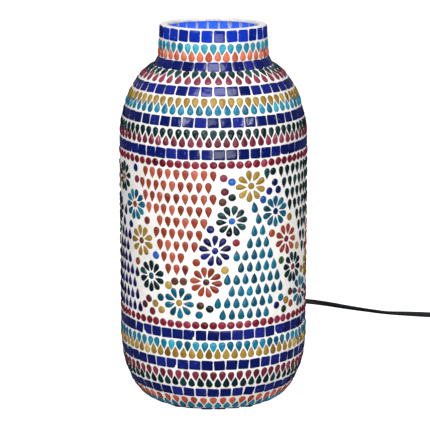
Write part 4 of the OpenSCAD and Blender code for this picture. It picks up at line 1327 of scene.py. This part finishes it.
@dataclass
class StrainRelief:
    """A ribbed rubber sleeve that tapers along the cord where it leaves a housing."""

    length: float = 0.024
    wall: tuple[float, float] = (0.0016, 0.0004)
    ribs: int = 6
    groove: float = 0.0005
    rounds: int = 16
    floor_gap: float = 0.0003

    def build(self, name: str, route: Sequence[tuple[Vector, float]], mouth: Vector, ahead: bool, cord: TwinCord,
              material: bpy.types.Material) -> bpy.types.Object:
        """Sweeps the sleeve along the cord from its thick end at a housing's mouth.

        Args:
            name: the piece's name.
            route: the cord's places and turns.
            mouth: where the cord leaves the housing.
            ahead: whether the sleeve follows the cord onward from there, or back.
            cord: the cord, for its section.
            material: the rubber.

        Returns:
            The piece.
        """
        near = min(range(len(route)), key=lambda i: (route[i][0] - mouth).length)
        way = route[near:] if ahead else route[near::-1]
        places, gone = [(way[0][0], way[0][1], 0.0)], 0.0
        for (a, _), (b, roll) in zip(way, way[1:]):
            gone += (b - a).length
            places.append((b, roll, gone))
            if gone > self.length:
                break
        steps = self.ribs * 4
        bm = bmesh.new()
        rings = []
        for k in range(steps + 1):
            along = self.length * k / steps
            i = max(1, next((i for i, p in enumerate(places) if p[2] >= along), len(places) - 1))
            (a, roll_a, at_a), (b, roll_b, at_b) = places[i - 1], places[i]
            t = (along - at_a) / max(at_b - at_a, 1e-9)
            middle, roll = a.lerp(b, t), math.radians(roll_a + (roll_b - roll_a) * t)
            run = (b - a).normalized()
            side = run.cross(Vector((0, 0, 1))).normalized()
            up = side.cross(run)
            across = side * math.cos(roll) + up * math.sin(roll)
            tall = up * math.cos(roll) - side * math.sin(roll)
            wall = self.wall[0] + (self.wall[1] - self.wall[0]) * k / steps
            wall -= self.groove * (k % 4 in (2, 3)) * (0 < k < steps) * wall / self.wall[0]
            ring = []
            for j in range(self.rounds):
                turn = 2 * math.pi * j / self.rounds
                at = (middle + across * (cord.thickness / 2 + wall) * math.cos(turn)
                      + tall * (cord.width / 2 + wall) * math.sin(turn))
                at.z = max(at.z, self.floor_gap)
                ring.append(bm.verts.new(at))
            rings.append(ring)
        for low, high in zip(rings, rings[1:]):
            for j in range(self.rounds):
                k = (j + 1) % self.rounds
                bm.faces.new((low[j], low[k], high[k], high[j]))
        bm.faces.new(rings[0])
        bm.faces.new(rings[-1])
        bmesh.ops.recalc_face_normals(bm, faces=bm.faces)
        mesh = bpy.data.meshes.new(name)
        bm.to_mesh(mesh)
        bm.free()
        smooth(mesh, 30.0)
        return finish_piece(new_object(name, mesh), Body.LAMP, material, "black_rubber")


# ------------------------------------------------------------------ studio


@dataclass
class Studio:
    """Pale floor and backdrop, soft lights, and the camera."""

    distance: float = 1.8
    height: float = 0.554
    pitch: float = 12.04
    shift_right: float = 0.0015
    lens: float = 170.3
    floor: Colour = (0.6, 0.6, 0.6)
    floor_glow: float = 1.0
    sky: float = 0.12

    def camera(self) -> None:
        """Sets the camera in front of the lamp, looking a little down."""
        data = bpy.data.cameras.new("camera")
        data.lens = self.lens
        data.sensor_width = 36.0
        data.clip_end = 50.0
        obj = bpy.data.objects.new("camera", data)
        obj.location = (self.shift_right, -self.distance, self.height)
        obj.rotation_euler = (math.radians(90 - self.pitch), 0.0, 0.0)
        bpy.context.scene.collection.objects.link(obj)
        bpy.context.scene.camera = obj

    def softbox(self, name: str, place: Vector, aim: Vector, size: tuple[float, float], power: float) -> None:
        """Adds one rectangular softbox.

        Args:
            name: the light's name.
            place: where it stands.
            aim: what it faces.
            size: its width and height.
            power: watts.
        """
        data = bpy.data.lights.new(name, "AREA")
        data.shape = "RECTANGLE"
        data.size, data.size_y = size
        data.energy = power
        obj = bpy.data.objects.new(name, data)
        obj.location = place
        obj.rotation_euler = (aim - place).to_track_quat("-Z", "Y").to_euler()
        bpy.context.scene.collection.objects.link(obj)

    @staticmethod
    def seen(tree: bpy.types.NodeTree, seen: float, unseen: float) -> bpy.types.NodeSocket:
        """Adds a strength that differs between what is looked at and what only lights or mirrors in the glass.

        Args:
            tree: the material's or world's node tree.
            seen: the strength where it is looked at.
            unseen: the strength elsewhere.

        Returns:
            The strength's socket.
        """
        path = tree.nodes.new("ShaderNodeLightPath")
        pick = tree.nodes.new("ShaderNodeMapRange")
        pick.inputs["To Min"].default_value = unseen
        pick.inputs["To Max"].default_value = seen
        tree.links.new(path.outputs["Is Camera Ray"], pick.inputs["Value"])
        return pick.outputs["Result"]

    def sweep(self) -> None:
        """Lays the pale paper floor, lit from below where it is looked at and flagged off from the glass."""
        mesh = bpy.data.meshes.new("floor")
        mesh.from_pydata([(-6, -6, 0), (6, -6, 0), (6, 6, 0), (-6, 6, 0)], [], [(0, 1, 2, 3)])
        floor = new_object("floor", mesh)
        s = Shader("paper_floor")
        paper = s.ramp(s.noise(3.0, 2.0), [(0.0, tuple(c * 0.99 for c in self.floor)), (1.0, self.floor)])
        black = s.ramp(s.noise(3.0, 2.0), [(0.0, (0.1, 0.1, 0.1)), (1.0, (0.12, 0.12, 0.12))])
        path = s.tree.nodes.new("ShaderNodeLightPath")
        s.colour(s.mix(path.outputs["Is Glossy Ray"], paper, black))
        s.link(self.seen(s.tree, self.floor_glow, 0.0), s.surface.inputs["Emission Strength"])
        s.set(Roughness=0.9, Specular_IOR_Level=0.1, Emission_Color=(1.0, 1.0, 1.0))
        mesh.materials.append(s.material)

    def build(self) -> None:
        """Lays the floor, lights the scene and sets how it is shown."""
        self.sweep()
        world = bpy.data.worlds.new("studio")
        world.use_nodes = True
        sky = world.node_tree.nodes["Background"]
        sky.inputs["Color"].default_value = (1.0, 1.0, 1.0, 1.0)
        world.node_tree.links.new(self.seen(world.node_tree, 1.0, self.sky), sky.inputs["Strength"])
        bpy.context.scene.world = world
        aim = Vector((0.0, 0.0, 0.2))
        self.softbox("softbox_left", Vector((-1.25, -1.6, 1.0)), aim, (0.45, 0.9), 15.0)
        self.softbox("softbox_right", Vector((1.35, -1.4, 0.9)), aim, (0.35, 0.7), 10.0)
        self.softbox("softbox_high", Vector((0.05, -1.25, 1.65)), aim, (1.5, 0.6), 20.0)
        self.softbox("softbox_front", Vector((-0.1, -2.3, 1.35)), aim, (0.9, 0.45), 7.0)
        self.softbox("softbox_low", Vector((0.12, -0.95, 0.145)), aim, (0.55, 0.23), 2.2)
        self.softbox("softbox_top", Vector((0.0, 0.4, 1.9)), aim, (1.0, 1.0), 8.0)
        scene = bpy.context.scene
        scene.view_settings.view_transform = "Standard"
        scene.view_settings.look = "None"


# ------------------------------------------------------------------ carried-over CAD nodes


NODE_FINISHES: dict[str, str] = {
    "glass_vessel": "jar", "rubber_feet": "rubber", "lamp_pipe": "zinc", "pipe_nuts": "zinc",
    "steel_washers": "zinc", "rubber_washers": "rubber", "holder_cap": "plastic", "holder_skirt": "plastic",
    "holder_porcelain": "porcelain", "holder_screw_shell": "brass", "holder_contact": "brass",
    "holder_terminal_screws": "zinc", "cord_saddle": "plastic", "bulb_tip": "nickel", "bulb_insulator": "vitrite",
    "bulb_screw_cap": "nickel", "bulb_housing": "white", "bulb_diffuser": "opal", "cord_inside": "vinyl",
    "switch_base": "plastic", "switch_cover": "plastic", "switch_rocker": "rocker", "switch_contacts": "brass",
    "switch_screws": "zinc", "plug_body": "plastic", "plug_pins": "nickel",
}


def main() -> None:
    """Builds the lamp piece by piece and reports each one."""
    logging.basicConfig(level=logging.INFO, format="%(name)s: %(message)s")
    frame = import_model()
    workshop = Workshop()
    studio = Studio()
    studio.camera()
    flex = TwinCord()
    cord, path = flex.build(workshop.get("vinyl"))
    log.info("cord: %d rings", len(path))
    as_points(path)
    half = flex.switch_l / 2
    for name, mouth, ahead in (("relief_in", Vector((0.0, flex.switch_y - half, flex.switch_z)), False),
                               ("relief_out", Vector((0.0, flex.switch_y + half, flex.switch_z)), True),
                               ("relief_plug", Vector(flex.plug), False)):
        StrainRelief().build(name, flex.route(), mouth, ahead, flex, workshop.get("rubber"))
        log.info("%s: a tapered sleeve", name)
    for node, key in NODE_FINISHES.items():
        dress_node(frame, node, workshop.get(key))
    grout = GroutSkin(frame).build(workshop.get("grout"))
    log.info("grout: %d faces", len(grout.data.polygons))
    mosaic = Mosaic(frame, workshop)
    top = mosaic.build()
    window = NeckWindow().build(top, mosaic, workshop.get("back"))
    log.info("tile backs: %d faces", len(window.data.polygons))
    studio.build()


if __name__ == "__main__":
    main()
